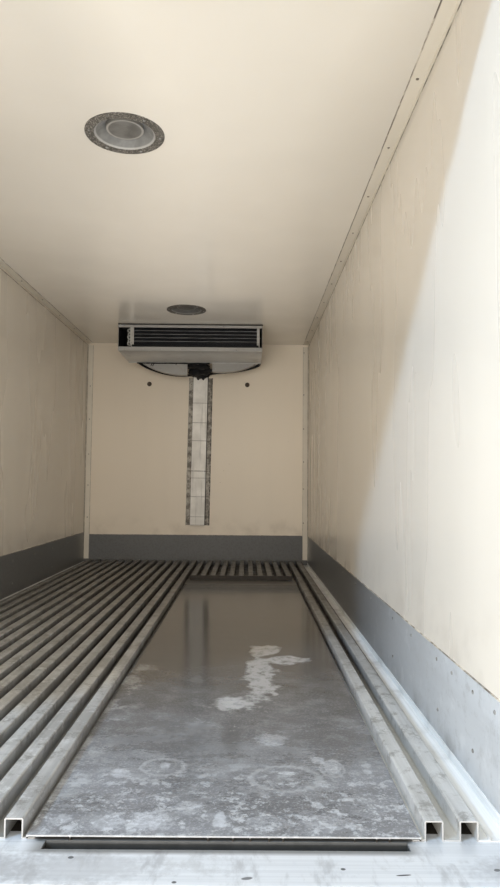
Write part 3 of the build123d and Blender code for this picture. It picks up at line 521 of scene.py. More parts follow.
white_stains = (
    # x, y, half width, half length, turn, strength
    (0.151, -1.979, 0.025, 0.026, 0.0, 0.55),
    (0.254, -1.931, 0.013, 0.018, 0.0, 0.55),
    (0.526, -1.763, 0.042, 0.042, 0.0, 0.5),
    (0.409, -1.455, 0.030, 0.060, 0.3, 0.5),
    (0.638, -1.894, 0.016, 0.024, 0.3, 0.6),
    (0.668, -1.941, 0.022, 0.045, 0.0, 0.5),
    (0.757, -1.925, 0.012, 0.014, 0.0, 0.45),
    (0.752, -1.960, 0.011, 0.012, 0.0, 0.4),
    (0.557, -1.972, 0.022, 0.009, 0.0, 0.75),
    (0.040, -1.213, 0.040, 0.060, 0.2, 0.4),
    (0.009, -1.484, 0.040, 0.070, 0.0, 0.4),
    (0.020, -1.787, 0.020, 0.030, -0.2, 0.3),
    (-0.130, -2.150, 0.060, 0.100, 0.2, 0.35),
    (0.070, -2.206, 0.022, 0.024, 0.0, 0.4),
    (0.170, -2.215, 0.032, 0.030, 0.1, 0.45),
    (0.260, -2.200, 0.045, 0.040, 0.0, 0.45),
    (0.331, -2.150, 0.030, 0.028, 0.4, 0.35),
    (0.401, -2.201, 0.014, 0.034, 0.0, 0.7),
    (0.500, -2.210, 0.050, 0.030, 0.0, 0.3),
    (0.630, -2.207, 0.060, 0.030, -0.1, 0.35),
)
crumbly = plate.ramp(plate.cloud(75, 10, 0.8), 0.35, 0.6, 0.35, 1.0)
for stain_x, stain_y, width, length, angle, strength in white_stains:
    reach = plate.spot((stain_x, stain_y, 0), (width, length, any_height), (0, 0, angle), ragged=1.7)
    amount = plate.both(plate.ramp(reach, 1.2, 0.75, 0.0, strength), crumbly)
    metal = plate.blend(amount, metal, (0.66, 0.68, 0.72))
rings = (
    # x, y, half width, half length
    (0.25, -1.94, 0.055, 0.05),
    (0.55, -2.0, 0.085, 0.07),
    (0.668, -1.945, 0.03, 0.05),
)
for ring_x, ring_y, width, length in rings:
    reach = plate.spot((ring_x, ring_y, 0), (width, length, any_height), ragged=0.5)
    band = plate.both(plate.ramp(reach, 0.80, 0.95), plate.ramp(reach, 1.12, 0.98, 0.0, 0.4))
    metal = plate.blend(band, metal, (0.55, 0.56, 0.58))
dark_drip = plate.spot((0.417, -1.74, 0), (0.03, 0.17, any_height), ragged=1.2)
metal = plate.blend(plate.ramp(dark_drip, 1.2, 0.3, 0.0, 0.45), metal, (0.12, 0.12, 0.12))
metal = plate.blend(plate.both(plate.rim("floor_plate", "y", 0.002), 0.6), metal, (0.66, 0.68, 0.70))
# Painted shade: below its top sheet, the plate's edges and feet are made nearly black.
metal = plate.blend(plate.ramp(z, floor_z + 0.0068, floor_z + 0.0058), metal, (0.05, 0.045, 0.04))
plate.feed(plate.shader.inputs["Metallic"], plate.ramp(white_film_and_painted_light, 0.1, 0.8, 0.32, 0.1))
plate_dents = plate.calc("ADD", plate.cloud(2.6, 3), plate.both(plate.cloud(50, 5), 0.08))
far_end = plate.ramp(y, plate_high.y - 0.5, plate_high.y, 0.1, 0.4)
dull = plate.either(plate.ramp(white_film_and_painted_light, 0, 1, 0.12, 0.42), far_end)
plate_metal = plate.looks(metal, dull, plate_dents, strength=0.35, depth=0.004)
dress(plate_metal, "floor_plate")

# %% [markdown]
# ## Rear frame and sill
# The doorway is framed in worn stainless sheet. It was brushed along its length, and a brush leaves
# lines: a cloud that is stretched a hundred times along one axis. Doorways in use are scratched and
# dented most where people step, so the sill gets its own finish.

# %% Frame steel
def brushed(name, colour, stretch, roughness=0.34, metallic=0.85, dirt=0.3):
    """Brushed sheet with dirt in patches. The stretch packs the brush lines across their length."""
    f = Finish(name, colour, roughness, metallic=metallic)
    wide = tuple(max(3, scale / 8) for scale in stretch)
    lines = f.cloud(1.0, 3, at=f.stretched(stretch))
    tone = f.blend(f.ramp(lines, 0.3, 0.7), shade(colour, 0.85), colour)
    tone = f.blend(f.patches(5, 8, 0.62, 0.5, 0.72, dirt), tone, (0.17, 0.15, 0.125))
    tone = f.blend(f.patches(1.0, 6, 0.62, 0.52, 0.75, 0.4, wide), tone, shade(colour, 0.6))
    relief = f.calc("ADD", f.both(lines, 0.3), f.cloud(9, 4))
    return f.looks(tone, f.ramp(lines, 0.3, 0.7, roughness - 0.05, roughness + 0.1), relief, 0.15, 0.0015)


stainless = (0.66, 0.67, 0.68)
dress(brushed("upright_steel", stainless, (140, 140, 1.5)), "right_post", "left_post", "lock_keepers")
dress(brushed("header_steel", stainless, (1.5, 140, 140)), "rear_header")

# %% Sill
sill_tone = (0.70, 0.73, 0.77)
sill = Finish("sill_steel", sill_tone, 0.45, metallic=0.3)
x, y, z = sill.axes()
lines = sill.cloud(1.0, 3, at=sill.stretched((1.2, 130, 130)))
tone = sill.blend(sill.ramp(lines, 0.3, 0.7), (0.71, 0.74, 0.78), (0.82, 0.85, 0.89))
boot_marks = sill.patches(1.0, 6, 0.62, 0.52, 0.68, 0.6, (22, 7, 7))
tone = sill.blend(boot_marks, tone, (0.42, 0.43, 0.45))
tone = sill.blend(sill.patches(9, 11, 0.74, 0.52, 0.66, 0.5), tone, (0.50, 0.51, 0.52))
for worn_x, strength in ((-0.05, 0.7), (1.0, 0.6), (0.14, 0.5)):
    worn = sill.spot((worn_x, -2.36, 0), (0.16, 0.06, any_height), ragged=1.2)
    tone = sill.blend(sill.ramp(worn, 1.1, 0.4, 0.0, strength), tone, (0.44, 0.45, 0.47))
marks = (
    # x, y, half width, half length, turn, share of the colour kept
    (0.744, -2.376, 0.016, 0.0025, 0.1, 0.06),
    (0.124, -2.325, 0.006, 0.005, 0.0, 0.2),
    (0.328, -2.402, 0.005, 0.004, 0.0, 0.2),
    (0.458, -2.389, 0.012, 0.005, 0.2, 0.3),
    (0.636, -2.358, 0.005, 0.004, 0.0, 0.2),
    (0.921, -2.358, 0.007, 0.005, 0.3, 0.25),
    (-0.31, -2.35, 0.02, 0.003, 0.3, 0.3),
    (-0.62, -2.39, 0.006, 0.006, 0.0, 0.2),
)
for mark_x, mark_y, width, length, angle, kept in marks:
    reach = sill.spot((mark_x, mark_y, 0), (width, length, any_height), (0, 0, angle), ragged=0.35)
    tone = sill.blend(sill.ramp(reach, 1.0, 0.75), tone, shade(sill_tone, kept))
# Dirt and painted shade: the gutter, the shelf under the plate's near edge and a strip in front of the plate
# are made nearly black, where the plate shades them.
beside = sill.off(x, (plate_low.x + plate_high.x) / 2)
gutter_shade_and_dirt = sill.both(sill.ramp(y, sill_y + 0.108, sill_y + 0.112), sill.ramp(z, floor_z - 0.001, floor_z - 0.006))
shelf_painted_shadow = sill.both(sill.ramp(y, ribs_y - 0.011, ribs_y - 0.007), sill.ramp(beside, 0.385, 0.365))
lip = sill.both(sill.ramp(y, sill_y + 0.094, sill_y + 0.111, 0.0, 0.75), sill.ramp(beside, 0.40, 0.35))
gutter_shade_and_dirt = sill.either(gutter_shade_and_dirt, sill.both(shelf_painted_shadow, 0.9), lip)
sludge_and_painted_shade = sill.blend(sill.cloud(40, 6), (0.07, 0.068, 0.062), (0.15, 0.145, 0.135))
tone = sill.blend(gutter_shade_and_dirt, tone, sludge_and_painted_shade)
sill_gloss = sill.ramp(sill.cloud(9), 0.3, 0.7, 0.38, 0.52)
sill_relief = sill.calc("ADD", sill.both(lines, 0.2), sill.cloud(7, 4))
dress(sill.looks(tone, sill_gloss, sill_relief, strength=0.2, depth=0.002), "rear_sill")

# %% [markdown]
# ## Edge profiles and trims
# Outside, natural aluminium angles clasp the panels. Inside, cream coated strips cover the joints,
# with grey dirt along their edges, where a cloth never quite reaches.

# %% Aluminium edges
aluminium = (0.60, 0.61, 0.62)
along_x, along_y, along_z = (2, 150, 150), (150, 2, 150), (150, 150, 2)
side_rail = brushed("rail_aluminium", aluminium, along_y, 0.36, 0.8)
dress(side_rail, "roof_side_rails", "bottom_side_rails")
dress(brushed("front_rail_aluminium", aluminium, along_x, 0.36, 0.8), "roof_front_rail")
dress(brushed("upright_aluminium", aluminium, along_z, 0.36, 0.8), "front_corner_rails")
# Painted light: the floor edge angles are made much paler than the other aluminium, where daylight falls on
# them.
painted_light_angle = brushed("floor_edge_aluminium", (0.91, 0.915, 0.91), along_y, 0.4, 0.0, 0.35)
dress(painted_light_angle, "floor_edge_angles")

# %% Cast corner caps
casting = Finish("corner_casting", (0.52, 0.53, 0.54), 0.45, metallic=0.8)
skin = casting.blend(casting.patches(14, 6, start=0.35, end=0.7), (0.44, 0.45, 0.455), (0.57, 0.575, 0.58))
skin = casting.blend(casting.patches(6, 8, start=0.52, end=0.7, most=0.6), skin, (0.2, 0.18, 0.15))
dress(casting.looks(skin, 0.45, casting.cells(380), strength=0.3, depth=0.0004), "roof_corner_caps")

# %% Coated trims
def coated_strip(name, colour, edge_x, edge_axis, edge_place):
    """Cream coated strip with a thin line of dirt along both its edges."""
    f = Finish(name, colour, 0.32)
    lighter_share = f.patches(2.5, 6, start=0.35, end=0.65, stretch=(2, 0.5, 2))
    base = f.blend(lighter_share, shade(colour, 0.93), colour)
    axes = f.axes()
    gaps = f.off(f.calc("ABSOLUTE", axes[0]), edge_x), f.off(axes[edge_axis], edge_place)
    lines = f.either(*(f.ramp(gap, 0.0035, 0.001) for gap in gaps))
    edge = f.both(lines, f.ramp(f.cloud(25, 6), 0.3, 0.65, 0.4, 0.9))
    base = f.blend(edge, base, (0.16, 0.135, 0.11))
    chips = f.both(f.ramp(f.cells(70), 0.09, 0.06), f.patches(4, start=0.55, end=0.65, most=0.5))
    base = f.blend(chips, base, (0.25, 0.22, 0.18))
    return f.looks(base, f.ramp(f.cloud(8), 0.3, 0.7, 0.28, 0.42), f.cloud(12, 4), strength=0.15, depth=0.001)


trim_cream = (0.74, 0.69, 0.60)
ceiling_strip = coated_strip("ceiling_trim_strip", trim_cream, inner_x - 0.045, 2, low["ceiling_trims"].z)
dress(ceiling_strip, "ceiling_trims")
corner_cream = shade(trim_cream, 0.95)
corner_strip = coated_strip("corner_trim_strip", corner_cream, inner_x - 0.048, 1, low["corner_trims"].y)
dress(corner_strip, "corner_trims")

# %% [markdown]
# ## Evaporator
# The evaporator is a folded grey case with a black coil behind louvres. Its two wings at the back
# hide the valves. Dust settles on the case's top and in its folds.

# %% Case and wings
def painted_case(name, node, colour, dirt, painted_shade_strength):
    """Light grey painted sheet, dusty on top, dirty along its folds, with painted shade on its lips and inside.
    """
    f = Finish(name, colour, 0.36)
    upward = f.axes(f.normal)[2]
    paint = f.blend(f.patches(4, 7, start=0.35, end=0.68), shade(colour, 0.9), colour)
    folds = f.both(f.rim(node, "xz", 0.006), f.ramp(f.cloud(18, 6), 0.35, 0.7, 0.1, dirt))
    paint = f.blend(folds, paint, (0.14, 0.12, 0.10))
    paint = f.blend(f.ramp(upward, 0.3, 0.9, 0.0, 0.6), paint, road_dust)
    paint = f.blend(f.patches(7, 9, 0.65, 0.55, 0.75, dirt), paint, (0.2, 0.17, 0.135))
    x, y, z = f.axes()
    foot, head = low[node], high[node]
    # Painted shade: the front lips are made darker, and the inside of the case nearly black.
    front_lips_painted_shade = f.both(f.ramp(y, foot.y + 0.004, foot.y + 0.001), f.ramp(upward, 0.5, 0.2))
    paint = f.blend(f.both(front_lips_painted_shade, painted_shade_strength * 0.65), paint, (0.2, 0.19, 0.18))
    inside = f.both(f.ramp(y, foot.y + 0.002, foot.y + 0.006), f.ramp(z, foot.z + 0.008, foot.z + 0.012))
    for edge, inward in ((foot.x, 1), (head.x, -1)):
        inside = f.both(inside, f.ramp(x, edge + inward * 0.0012, edge + inward * 0.0022))
    inside = f.both(inside, f.ramp(y, head.y - 0.0012, head.y - 0.0022, 0.0, painted_shade_strength))
    paint = f.blend(inside, paint, (0.012, 0.013, 0.016))
    return f.looks(paint, f.ramp(f.cloud(9), 0.3, 0.7, 0.3, 0.46), f.cloud(5, 3), strength=0.2, depth=0.002)


case_paint = painted_case("evaporator_paint", "evaporator_case", (0.64, 0.645, 0.645), 0.4, 0.97)
wing_paint = painted_case("wing_paint", "valve_box", (0.38, 0.375, 0.365), 0.5, 0.0)
dress(case_paint, "evaporator_case")
dress(wing_paint, "valve_box")

# %% Coil and louvres
coil = Finish("coil_aluminium", (0.03, 0.03, 0.033), 0.5, metallic=0.3)
x = coil.axes()[0]
coil_low, coil_high = low["evaporator_coil"], high["evaporator_coil"]
dark_fins = coil.blend(coil.cloud(90, 4), (0.010, 0.011, 0.014), (0.028, 0.028, 0.032))
left_plate = coil.ramp(x, coil_low.x + 0.045, coil_low.x + 0.040)
right_plate = coil.ramp(x, coil_high.x - 0.006, coil_high.x - 0.004)
bright = coil.blend(coil.patches(30, 5, start=0.35, end=0.65), (0.55, 0.54, 0.51), (0.85, 0.84, 0.81))
coil_face = coil.blend(coil.either(left_plate, right_plate), dark_fins, bright)
dress(coil.looks(coil_face, 0.42, coil.cloud(120, 3), strength=0.2, depth=0.0005), "evaporator_coil")

louvre = Finish("louvre_paint", (0.33, 0.34, 0.35), 0.4, metallic=0.3)
x, y, _ = louvre.axes()
louvre_low, louvre_high = low["evaporator_louvres"], high["evaporator_louvres"]
left_bar = louvre.ramp(x, louvre_low.x + 0.031, louvre_low.x + 0.0295)
right_bar = louvre.ramp(x, louvre_high.x - 0.022, louvre_high.x - 0.0205)
upright = louvre.either(left_bar, right_bar)
# Painted shade: behind their grey front tips the blades are made nearly black, for the shade between them.
blade = louvre.blend(louvre.patches(12, 7, start=0.35, end=0.7), (0.03, 0.032, 0.038), (0.07, 0.073, 0.08))
front_lip = louvre.ramp(y, louvre_low.y + 0.007, louvre_low.y + 0.004)
tips = louvre.both(front_lip, louvre.ramp(louvre.cloud(9, 4), 0.3, 0.6, 0.5, 1.0))
blade = louvre.blend(tips, blade, (0.40, 0.41, 0.43))
sheet = louvre.blend(louvre.cloud(16, 5), (0.44, 0.43, 0.41), (0.54, 0.53, 0.51))
louvre_tone = louvre.blend(upright, blade, sheet)
dress(louvre.looks(louvre_tone, 0.4, louvre.cloud(30, 4), strength=0.15, depth=0.0008), "evaporator_louvres")

# %% [markdown]
# ## Line duct
# A shallow duct leads the lines down the front wall. It was painted white and has been scratched down
# to the metal. It leans a little, so its pattern is read on coordinates that are turned by that lean.

# %% Duct finish
duct = Finish("duct_paint", (0.60, 0.585, 0.55), 0.42)
duct_low, duct_high = low["line_duct"], high["line_duct"]
duct_foot_x, duct_top_x = 0.012, 0.028
duct_length = duct_high.z - duct_low.z
duct_turn = math.atan((duct_top_x - duct_foot_x) / duct_length)
leaning = duct.add(
    "ShaderNodeMapping",
    "Vector",
    {"Vector": duct.place, "Location": (duct_foot_x, 0, duct_low.z), "Rotation": (0, duct_turn, 0)},
    vector_type="TEXTURE",
)
u, _, w = duct.axes(leaning)
paint = duct.blend(duct.patches(6, 8, start=0.35, end=0.65), (0.74, 0.725, 0.69), (0.92, 0.905, 0.87))
bare_runs = duct.patches(1.0, 5, start=0.55, end=0.7, most=0.55, stretch=(45, 1, 2.2))
paint = duct.blend(bare_runs, paint, (0.46, 0.455, 0.44))
fold_u = 0.0655
flange = duct.ramp(duct.calc("ABSOLUTE", u), fold_u - 0.002, fold_u)
flange_grey = duct.blend(duct.patches(20, 9, 0.7, 0.38, 0.62), (0.16, 0.145, 0.125), (0.50, 0.47, 0.42))
paint = duct.blend(flange, paint, flange_grey)
# Painted shade: a dark line along each fold.
creases = duct.off(duct.calc("ABSOLUTE", u), fold_u)
paint = duct.blend(duct.both(duct.ramp(creases, 0.0035, 0.0015), 0.85), paint, (0.04, 0.035, 0.03))
ragged_edge = duct.both(duct.ramp(u, 0.092, 0.098), duct.patches(16, 9, 0.75, 0.45, 0.55))
paint = duct.blend(ragged_edge, paint, (0.05, 0.042, 0.035))
cross_marks = {1.706: 0.4, 1.531: 0.5, 1.371: 0.5, 1.103: 0.9, 1.041: 0.4, 0.877: 0.5, 0.701: 0.4, 0.629: 0.4}
for mark_z, strength in cross_marks.items():
    line = duct.ramp(duct.off(w, mark_z - duct_low.z), 0.004, 0.002)
    mark = duct.both(line, duct.ramp(duct.cloud(30, 3), 0.35, 0.5, 0.3, strength))
    paint = duct.blend(mark, paint, (0.07, 0.06, 0.05))
duct_gloss = duct.ramp(bare_runs, 0, 0.5, 0.45, 0.32)
dress(duct.looks(paint, duct_gloss, duct.cloud(11, 5), strength=0.25, depth=0.0015), "line_duct")

# %% [markdown]
# ## Ceiling lamps
# Each lamp is a dark speckled flange, a grey dish and a disc in the middle. The rings differ only in
# their distance from the lamp's axis, so one mask for each ring gives it its own colour.

# %% Lamp finish
def lamp_finish(name, node, tone):
    """Rings of paint around a lamp's axis, all made darker by one tone: painted shade for a lamp that gets less
    light.
    """
    f = Finish(name, (0.1, 0.09, 0.08), 0.45)
    axis = (low[node] + high[node]) / 2
    radius = f.spot((axis.x, axis.y, 0), (1, 1, any_height))
    speckle = f.ramp(f.cells(190), 0.18, 0.5)
    flange = f.blend(speckle, (0.36, 0.335, 0.30), (0.075, 0.07, 0.062))
    dish = f.blend(f.patches(30, 5, start=0.3, end=0.7), (0.145, 0.145, 0.143), (0.205, 0.205, 0.20))
    disc = f.blend(f.patches(16, 7, start=0.35, end=0.65), (0.105, 0.10, 0.092), (0.165, 0.16, 0.15))
    rim = f.both(f.ramp(radius, 0.058, 0.060), f.ramp(radius, 0.0675, 0.066))
    disc = f.blend(rim, disc, (0.3, 0.29, 0.27))
    paint = f.blend(f.ramp(radius, 0.0670, 0.0675), disc, dish)
    lip = f.both(f.ramp(radius, 0.101, 0.104), f.ramp(radius, 0.1095, 0.108))
    paint = f.blend(f.both(lip, 0.6), paint, (0.45, 0.44, 0.42))
    paint = f.blend(f.ramp(radius, 0.108, 0.1095), paint, flange)
    paint = f.blend(1.0, paint, (tone, tone, tone), "MULTIPLY")
    return f.looks(paint, f.ramp(speckle, 0, 1, 0.35, 0.5), speckle, strength=0.2, depth=0.0006)


# Painted shade: the front lamp, deeper in the box, is made darker by 0.6.
dress(lamp_finish("rear_lamp_paint", "rear_ceiling_lamp", 1.0), "rear_ceiling_lamp")
dress(lamp_finish("front_lamp_shaded_paint", "front_ceiling_lamp", 0.6), "front_ceiling_lamp")

# %% [markdown]
# ## Rubber, red lenses and chassis paint
# Rubber is nearly black, dull and dusty. The marker lamps' lenses are moulded with fine upright ribs,
# which a wave turned into bumps draws well. The bearers wear black chassis paint under road dirt.

# %% Rubber
def rubber(name, dust, scale):
    """Black rubber with a film of dust and fine pores."""
    f = Finish(name, (0.01, 0.01, 0.012), 0.55, specular=0.25)
    pale_share = f.patches(scale, 7, start=0.4, end=0.75, most=dust)
    skin = f.blend(pale_share, (0.008, 0.009, 0.012), (0.22, 0.20, 0.17))
    gloss = f.ramp(f.cloud(scale), 0.3, 0.7, 0.45, 0.7)
    return f.looks(skin, gloss, f.cells(900), strength=0.2, depth=0.0003)


hose_skin = rubber("hose_rubber", 0.12, 25)
seal_skin = rubber("seal_rubber", 0.5, 12)
dress(hose_skin, "drain_spouts", "door_holdbacks")
dress(seal_skin, "left_door_gasket", "right_door_gasket")

# %% Red lenses
lens = Finish("marker_lens", (0.42, 0.018, 0.012), 0.16)
flutes = lens.add(
    "ShaderNodeTexWave", "Fac", {"Vector": lens.place, "Scale": 52.0}, bands_direction="X", wave_profile="SIN"
)
red = lens.blend(lens.ramp(flutes, 0.2, 0.8), (0.30, 0.012, 0.008), (0.50, 0.024, 0.016))
red = lens.blend(lens.patches(20, 6, start=0.55, end=0.75, most=0.4), red, (0.25, 0.12, 0.08))
lens_gloss = lens.ramp(lens.cloud(15), 0.3, 0.7, 0.12, 0.3)
dress(lens.looks(red, lens_gloss, flutes, strength=0.6, depth=0.001), "marker_lamps")

# %% Chassis paint
chassis = Finish("chassis_paint", (0.035, 0.035, 0.037), 0.45)
z = chassis.axes()[2]
black = chassis.blend(chassis.cloud(9, 6), (0.025, 0.025, 0.027), (0.055, 0.055, 0.056))
mud = chassis.both(chassis.ramp(z, 0.20, 0.0, 0.35, 1.0), chassis.patches(5, 9, 0.62, 0.42, 0.7, 0.8))
black = chassis.blend(mud, black, (0.17, 0.14, 0.11))
black = chassis.blend(chassis.patches(18, 8, 0.7, 0.62, 0.70, 0.85), black, (0.19, 0.07, 0.03))
chassis_gloss = chassis.ramp(mud, 0, 0.8, 0.38, 0.8)
chassis_coat = chassis.looks(black, chassis_gloss, chassis.cloud(70, 6), strength=0.35, depth=0.001)
dress(chassis_coat, "bearers", "cross_members")

# %% [markdown]
# ## Doors
# The doors are panels like the walls, in aluminium frames, with zinc plated hinges and lock rods. A
# door turns, so its masks can't use places in the truck's frame that only hold at rest. Object
# coordinates and object normals travel with the piece, so they stay right at every pose.

# %% Door finishes
def door_skin(name, side):
    """Cream inside and dusty white outside. The sign says to which side its inner face looks."""
    f = Finish(name, cream, 0.25)
    z = f.axes()[2]
    across = f.axes(f.normal)[0]
    runs = f.cloud(1.0, 6, at=f.stretched((3, 3, 0.35)))
    scuffs = f.patches(1.0, 6, 0.62, 0.55, 0.75, 0.25, (9, 3, 0.8))
    low_dirt = f.both(f.ramp(z, 0.75, 0.3), f.patches(5, 9, start=0.4, end=0.75, most=0.6))
    stripes = f.patches(1.0, 5, start=0.55, end=0.8, most=0.3, stretch=(14, 14, 0.3))
    inside = f.blend(f.ramp(runs, 0.35, 0.65), shade(cream, 0.92), cream)
    inside = f.blend(scuffs, inside, shade(cream, 0.6))
    inside = f.blend(low_dirt, inside, brown_dirt)
    outside = f.blend(f.either(low_dirt, stripes), white_skin, road_dust)
    facing_in = f.ramp(f.both(across, side), 0.4, 0.6)
    gloss = f.ramp(runs, 0.3, 0.8, 0.2, 0.38)
    return f.looks(f.blend(facing_in, outside, inside), gloss, f.cloud(3.5, 2), 0.2, 0.003)


for side, sign in sides:
    dress(door_skin(f"{side}_door_skin", sign), f"{side}_door_panel")
door_frame_skin = brushed("door_frame_aluminium", aluminium, along_z, 0.36, 0.8)
dress(door_frame_skin, "left_door_frame", "right_door_frame")

# %% Zinc plated gear
zinc = Finish("zinc_gear", (0.48, 0.49, 0.50), 0.34, metallic=0.9)
plating = zinc.blend(zinc.patches(9, 6, start=0.35, end=0.65), (0.42, 0.425, 0.42), (0.55, 0.56, 0.57))
plating = zinc.blend(zinc.ramp(zinc.cells(45), 0.0, 0.6, 0.0, 0.15), plating, (0.62, 0.58, 0.45))
plating = zinc.blend(zinc.patches(22, 9, 0.7, 0.58, 0.7, 0.75), plating, (0.13, 0.09, 0.06))
zinc_gloss = zinc.ramp(zinc.cloud(14), 0.3, 0.7, 0.28, 0.5)
zinc_plate = zinc.looks(plating, zinc_gloss, zinc.cloud(80, 5), strength=0.2, depth=0.0005)
dress(zinc_plate, "right_hinges", "left_hinges", "right_lock_gear", "left_lock_gear")

# %% [markdown]
# ## Fasteners
# A screw head is a few rings of faces, and there are hundreds of them. The quick way would be one
# object each. It is lighter to shape one head, stamp it at every place into a single mesh, and turn
# each stamp to the face that it sits on. A row of heads is then one piece.


# %% Stamping one shape at many places
def finished(bm, name, material, body="box", smooth=False):
    """Turns a bmesh into an object that rides on a body and wears a finish."""
    mesh = as_mesh(bm, name)
    piece = bpy.data.objects.new(name, mesh)
    scene.collection.objects.link(piece)
    mesh.materials.append(material)
    if smooth:
        mesh.polygons.foreach_set("use_smooth", [True] * len(mesh.polygons))
    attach(piece, body)


def on_face(point, normal, spin=0.0):
    """A matrix that stands a shape on a point, with its Z along the face's normal."""
    lean = Vector(normal).to_track_quat("Z", "Y").to_matrix().to_4x4()
    return Matrix.Translation(point) @ lean @ Matrix.Rotation(spin, 4, "Z")


def stamped(name, shape, places, material, body="box", smooth=False):
    """One piece made of a shape that is repeated at many places."""
    bm = bmesh.new()
    for place in places:
        start = len(bm.verts)
        bm.from_mesh(shape)
        bm.verts.ensure_lookup_table()
        bmesh.ops.transform(bm, matrix=place, verts=bm.verts[start:])
    bmesh.ops.recalc_face_normals(bm, faces=bm.faces)
    print(name, len(places), "times", len(shape.polygons), "faces")
    finished(bm, name, material, body, smooth)


# %% Screw, rivet and bolt shapes
def head_shape(name, radius, height, sides, crown, recess):
    """A head on the XY plane: a tapered disc whose crown is drawn in, with a recess in its middle."""
    bm = bmesh.new()
    lift = Matrix.Translation((0, 0, height / 2))
    top_radius = radius * crown
    cone = {"radius1": radius, "radius2": top_radius, "depth": height}
    bmesh.ops.create_cone(bm, cap_ends=True, segments=sides, matrix=lift, **cone)
    top = max(bm.faces, key=lambda face: face.calc_center_median().z)
    bmesh.ops.inset_region(bm, faces=[top], thickness=top_radius * 0.35, depth=height * 0.15)
    if recess:
        bmesh.ops.inset_region(bm, faces=[top], thickness=top_radius * 0.18, depth=0.0)
        bmesh.ops.inset_region(bm, faces=[top], thickness=radius * 0.03, depth=-height * recess)
    return as_mesh(bm, name)


screw = head_shape("screw_head", 0.0052, 0.0024, 12, 0.78, 0.6)
rivet = head_shape("rivet_head", 0.005, 0.0022, 10, 0.7, 0.4)
bolt = head_shape("bolt_head", 0.011, 0.008, 6, 0.94, 0.0)
print("heads:", [len(shape.polygons) for shape in (screw, rivet, bolt)])

# %% Fastener finish
steel = Finish("fastener_steel", (0.42, 0.42, 0.42), 0.38, metallic=0.75)
tone = steel.blend(steel.patches(60, 5, start=0.35, end=0.65), (0.30, 0.29, 0.275), (0.50, 0.50, 0.50))
tone = steel.blend(steel.patches(110, 6, start=0.55, end=0.7, most=0.7), tone, (0.11, 0.075, 0.05))
steel_gloss = steel.ramp(steel.cloud(80), 0.3, 0.7, 0.3, 0.5)
fastener_steel = steel.looks(tone, steel_gloss, steel.cloud(200, 4), strength=0.2, depth=0.0003)
rusty = Finish("dull_fastener", (0.12, 0.10, 0.085), 0.6, metallic=0.3)
tone = rusty.blend(rusty.patches(90, 6, start=0.4, end=0.6), (0.13, 0.11, 0.088), (0.30, 0.26, 0.21))
dull_fastener = rusty.looks(tone, 0.6, rusty.cloud(220, 4), strength=0.3, depth=0.0004)
print("finishes:", fastener_steel.name, dull_fastener.name)

# %% [markdown]
# ## Screws inside the box
# The strips along the ceiling are screwed at every 0.42 m, the corner strips at every 0.3 m, and the
# kick plates along both their edges. The places come from the photograph.

# %% Screws in the trims
trim_face_z = low["ceiling_trims"].z + 0.018
ceiling_screws = [
    ((sign * (inner_x - 0.023), -2.069 + 0.4225 * index, trim_face_z), (0, 0, -1))
    for sign in signs
    for index in range(11)
]
corner_face_y = front_wall_y - 0.006
corner_columns = {
    # x: heights
    0.95: (2.173, 1.793, 1.487, 1.192, 0.952, 0.651),
    -0.963: (1.856, 1.559, 1.246, 0.971, 0.688),
}
corner_screws = [
    ((screw_x, corner_face_y, level), (0, -1, 0))
    for screw_x, levels in corner_columns.items()
    for level in levels
]
trim_places = [on_face(point, normal) for point, normal in ceiling_screws + corner_screws]
stamped("trim_screws", screw, trim_places, dull_fastener)

# %% Screws in the kick plates
kick_x = low["right_kick_plate"].x
kick_rows = {
    # height: places along the box
    0.507: (-2.18, -2.041, -1.879, -1.742, -1.45, -1.174, -0.75, -0.33, 0.09, 0.51, 0.93, 1.35, 1.77),
    0.371: (-2.036, -1.748, -1.174, -0.33, 0.51, 1.35),
}
kick_places = [
    on_face((sign * kick_x, place_y, level), (-sign, 0, 0), spin=place_y * 7)
    for sign in signs
    for level, places in kick_rows.items()
    for place_y in places
]
stamped("kick_plate_screws", screw, kick_places, fastener_steel)

# %% Screws in the lamps and the duct
lamp_screws = []
for node in ("rear_ceiling_lamp", "front_ceiling_lamp"):
    axis = (low[node] + high[node]) / 2
    for index in range(6):
        angle = math.radians(12 + 60 * index)
        point = (axis.x + 0.126 * math.cos(angle), axis.y + 0.126 * math.sin(angle), low[node].z)
        lamp_screws.append(on_face(point, (0, 0, -1)))
stamped("lamp_screws", screw, lamp_screws, fastener_steel)


def duct_x(level):
    """The middle of the leaning duct at a level."""
    return duct_foot_x + (duct_top_x - duct_foot_x) * (level - duct_low.z) / duct_length


flank_levels = {-1: (1.88, 1.711, 1.46, 1.219, 0.95, 0.66), 1: (1.86, 1.533, 1.229, 0.909, 0.66)}
duct_screws = [
    on_face((duct_x(level) + flank * 0.084, front_wall_y - 0.002, level), (0, -1, 0))
    for flank, levels in flank_levels.items()
    for level in levels
]
stamped("duct_screws", screw, duct_screws, dull_fastener)

# %% [markdown]
# ## Wall plugs
# Two domed plastic plugs close old holes in the front wall. A dome is a short arc spun right round
# its axis, which bmesh.ops.spin does, with use_merge to close the seam.

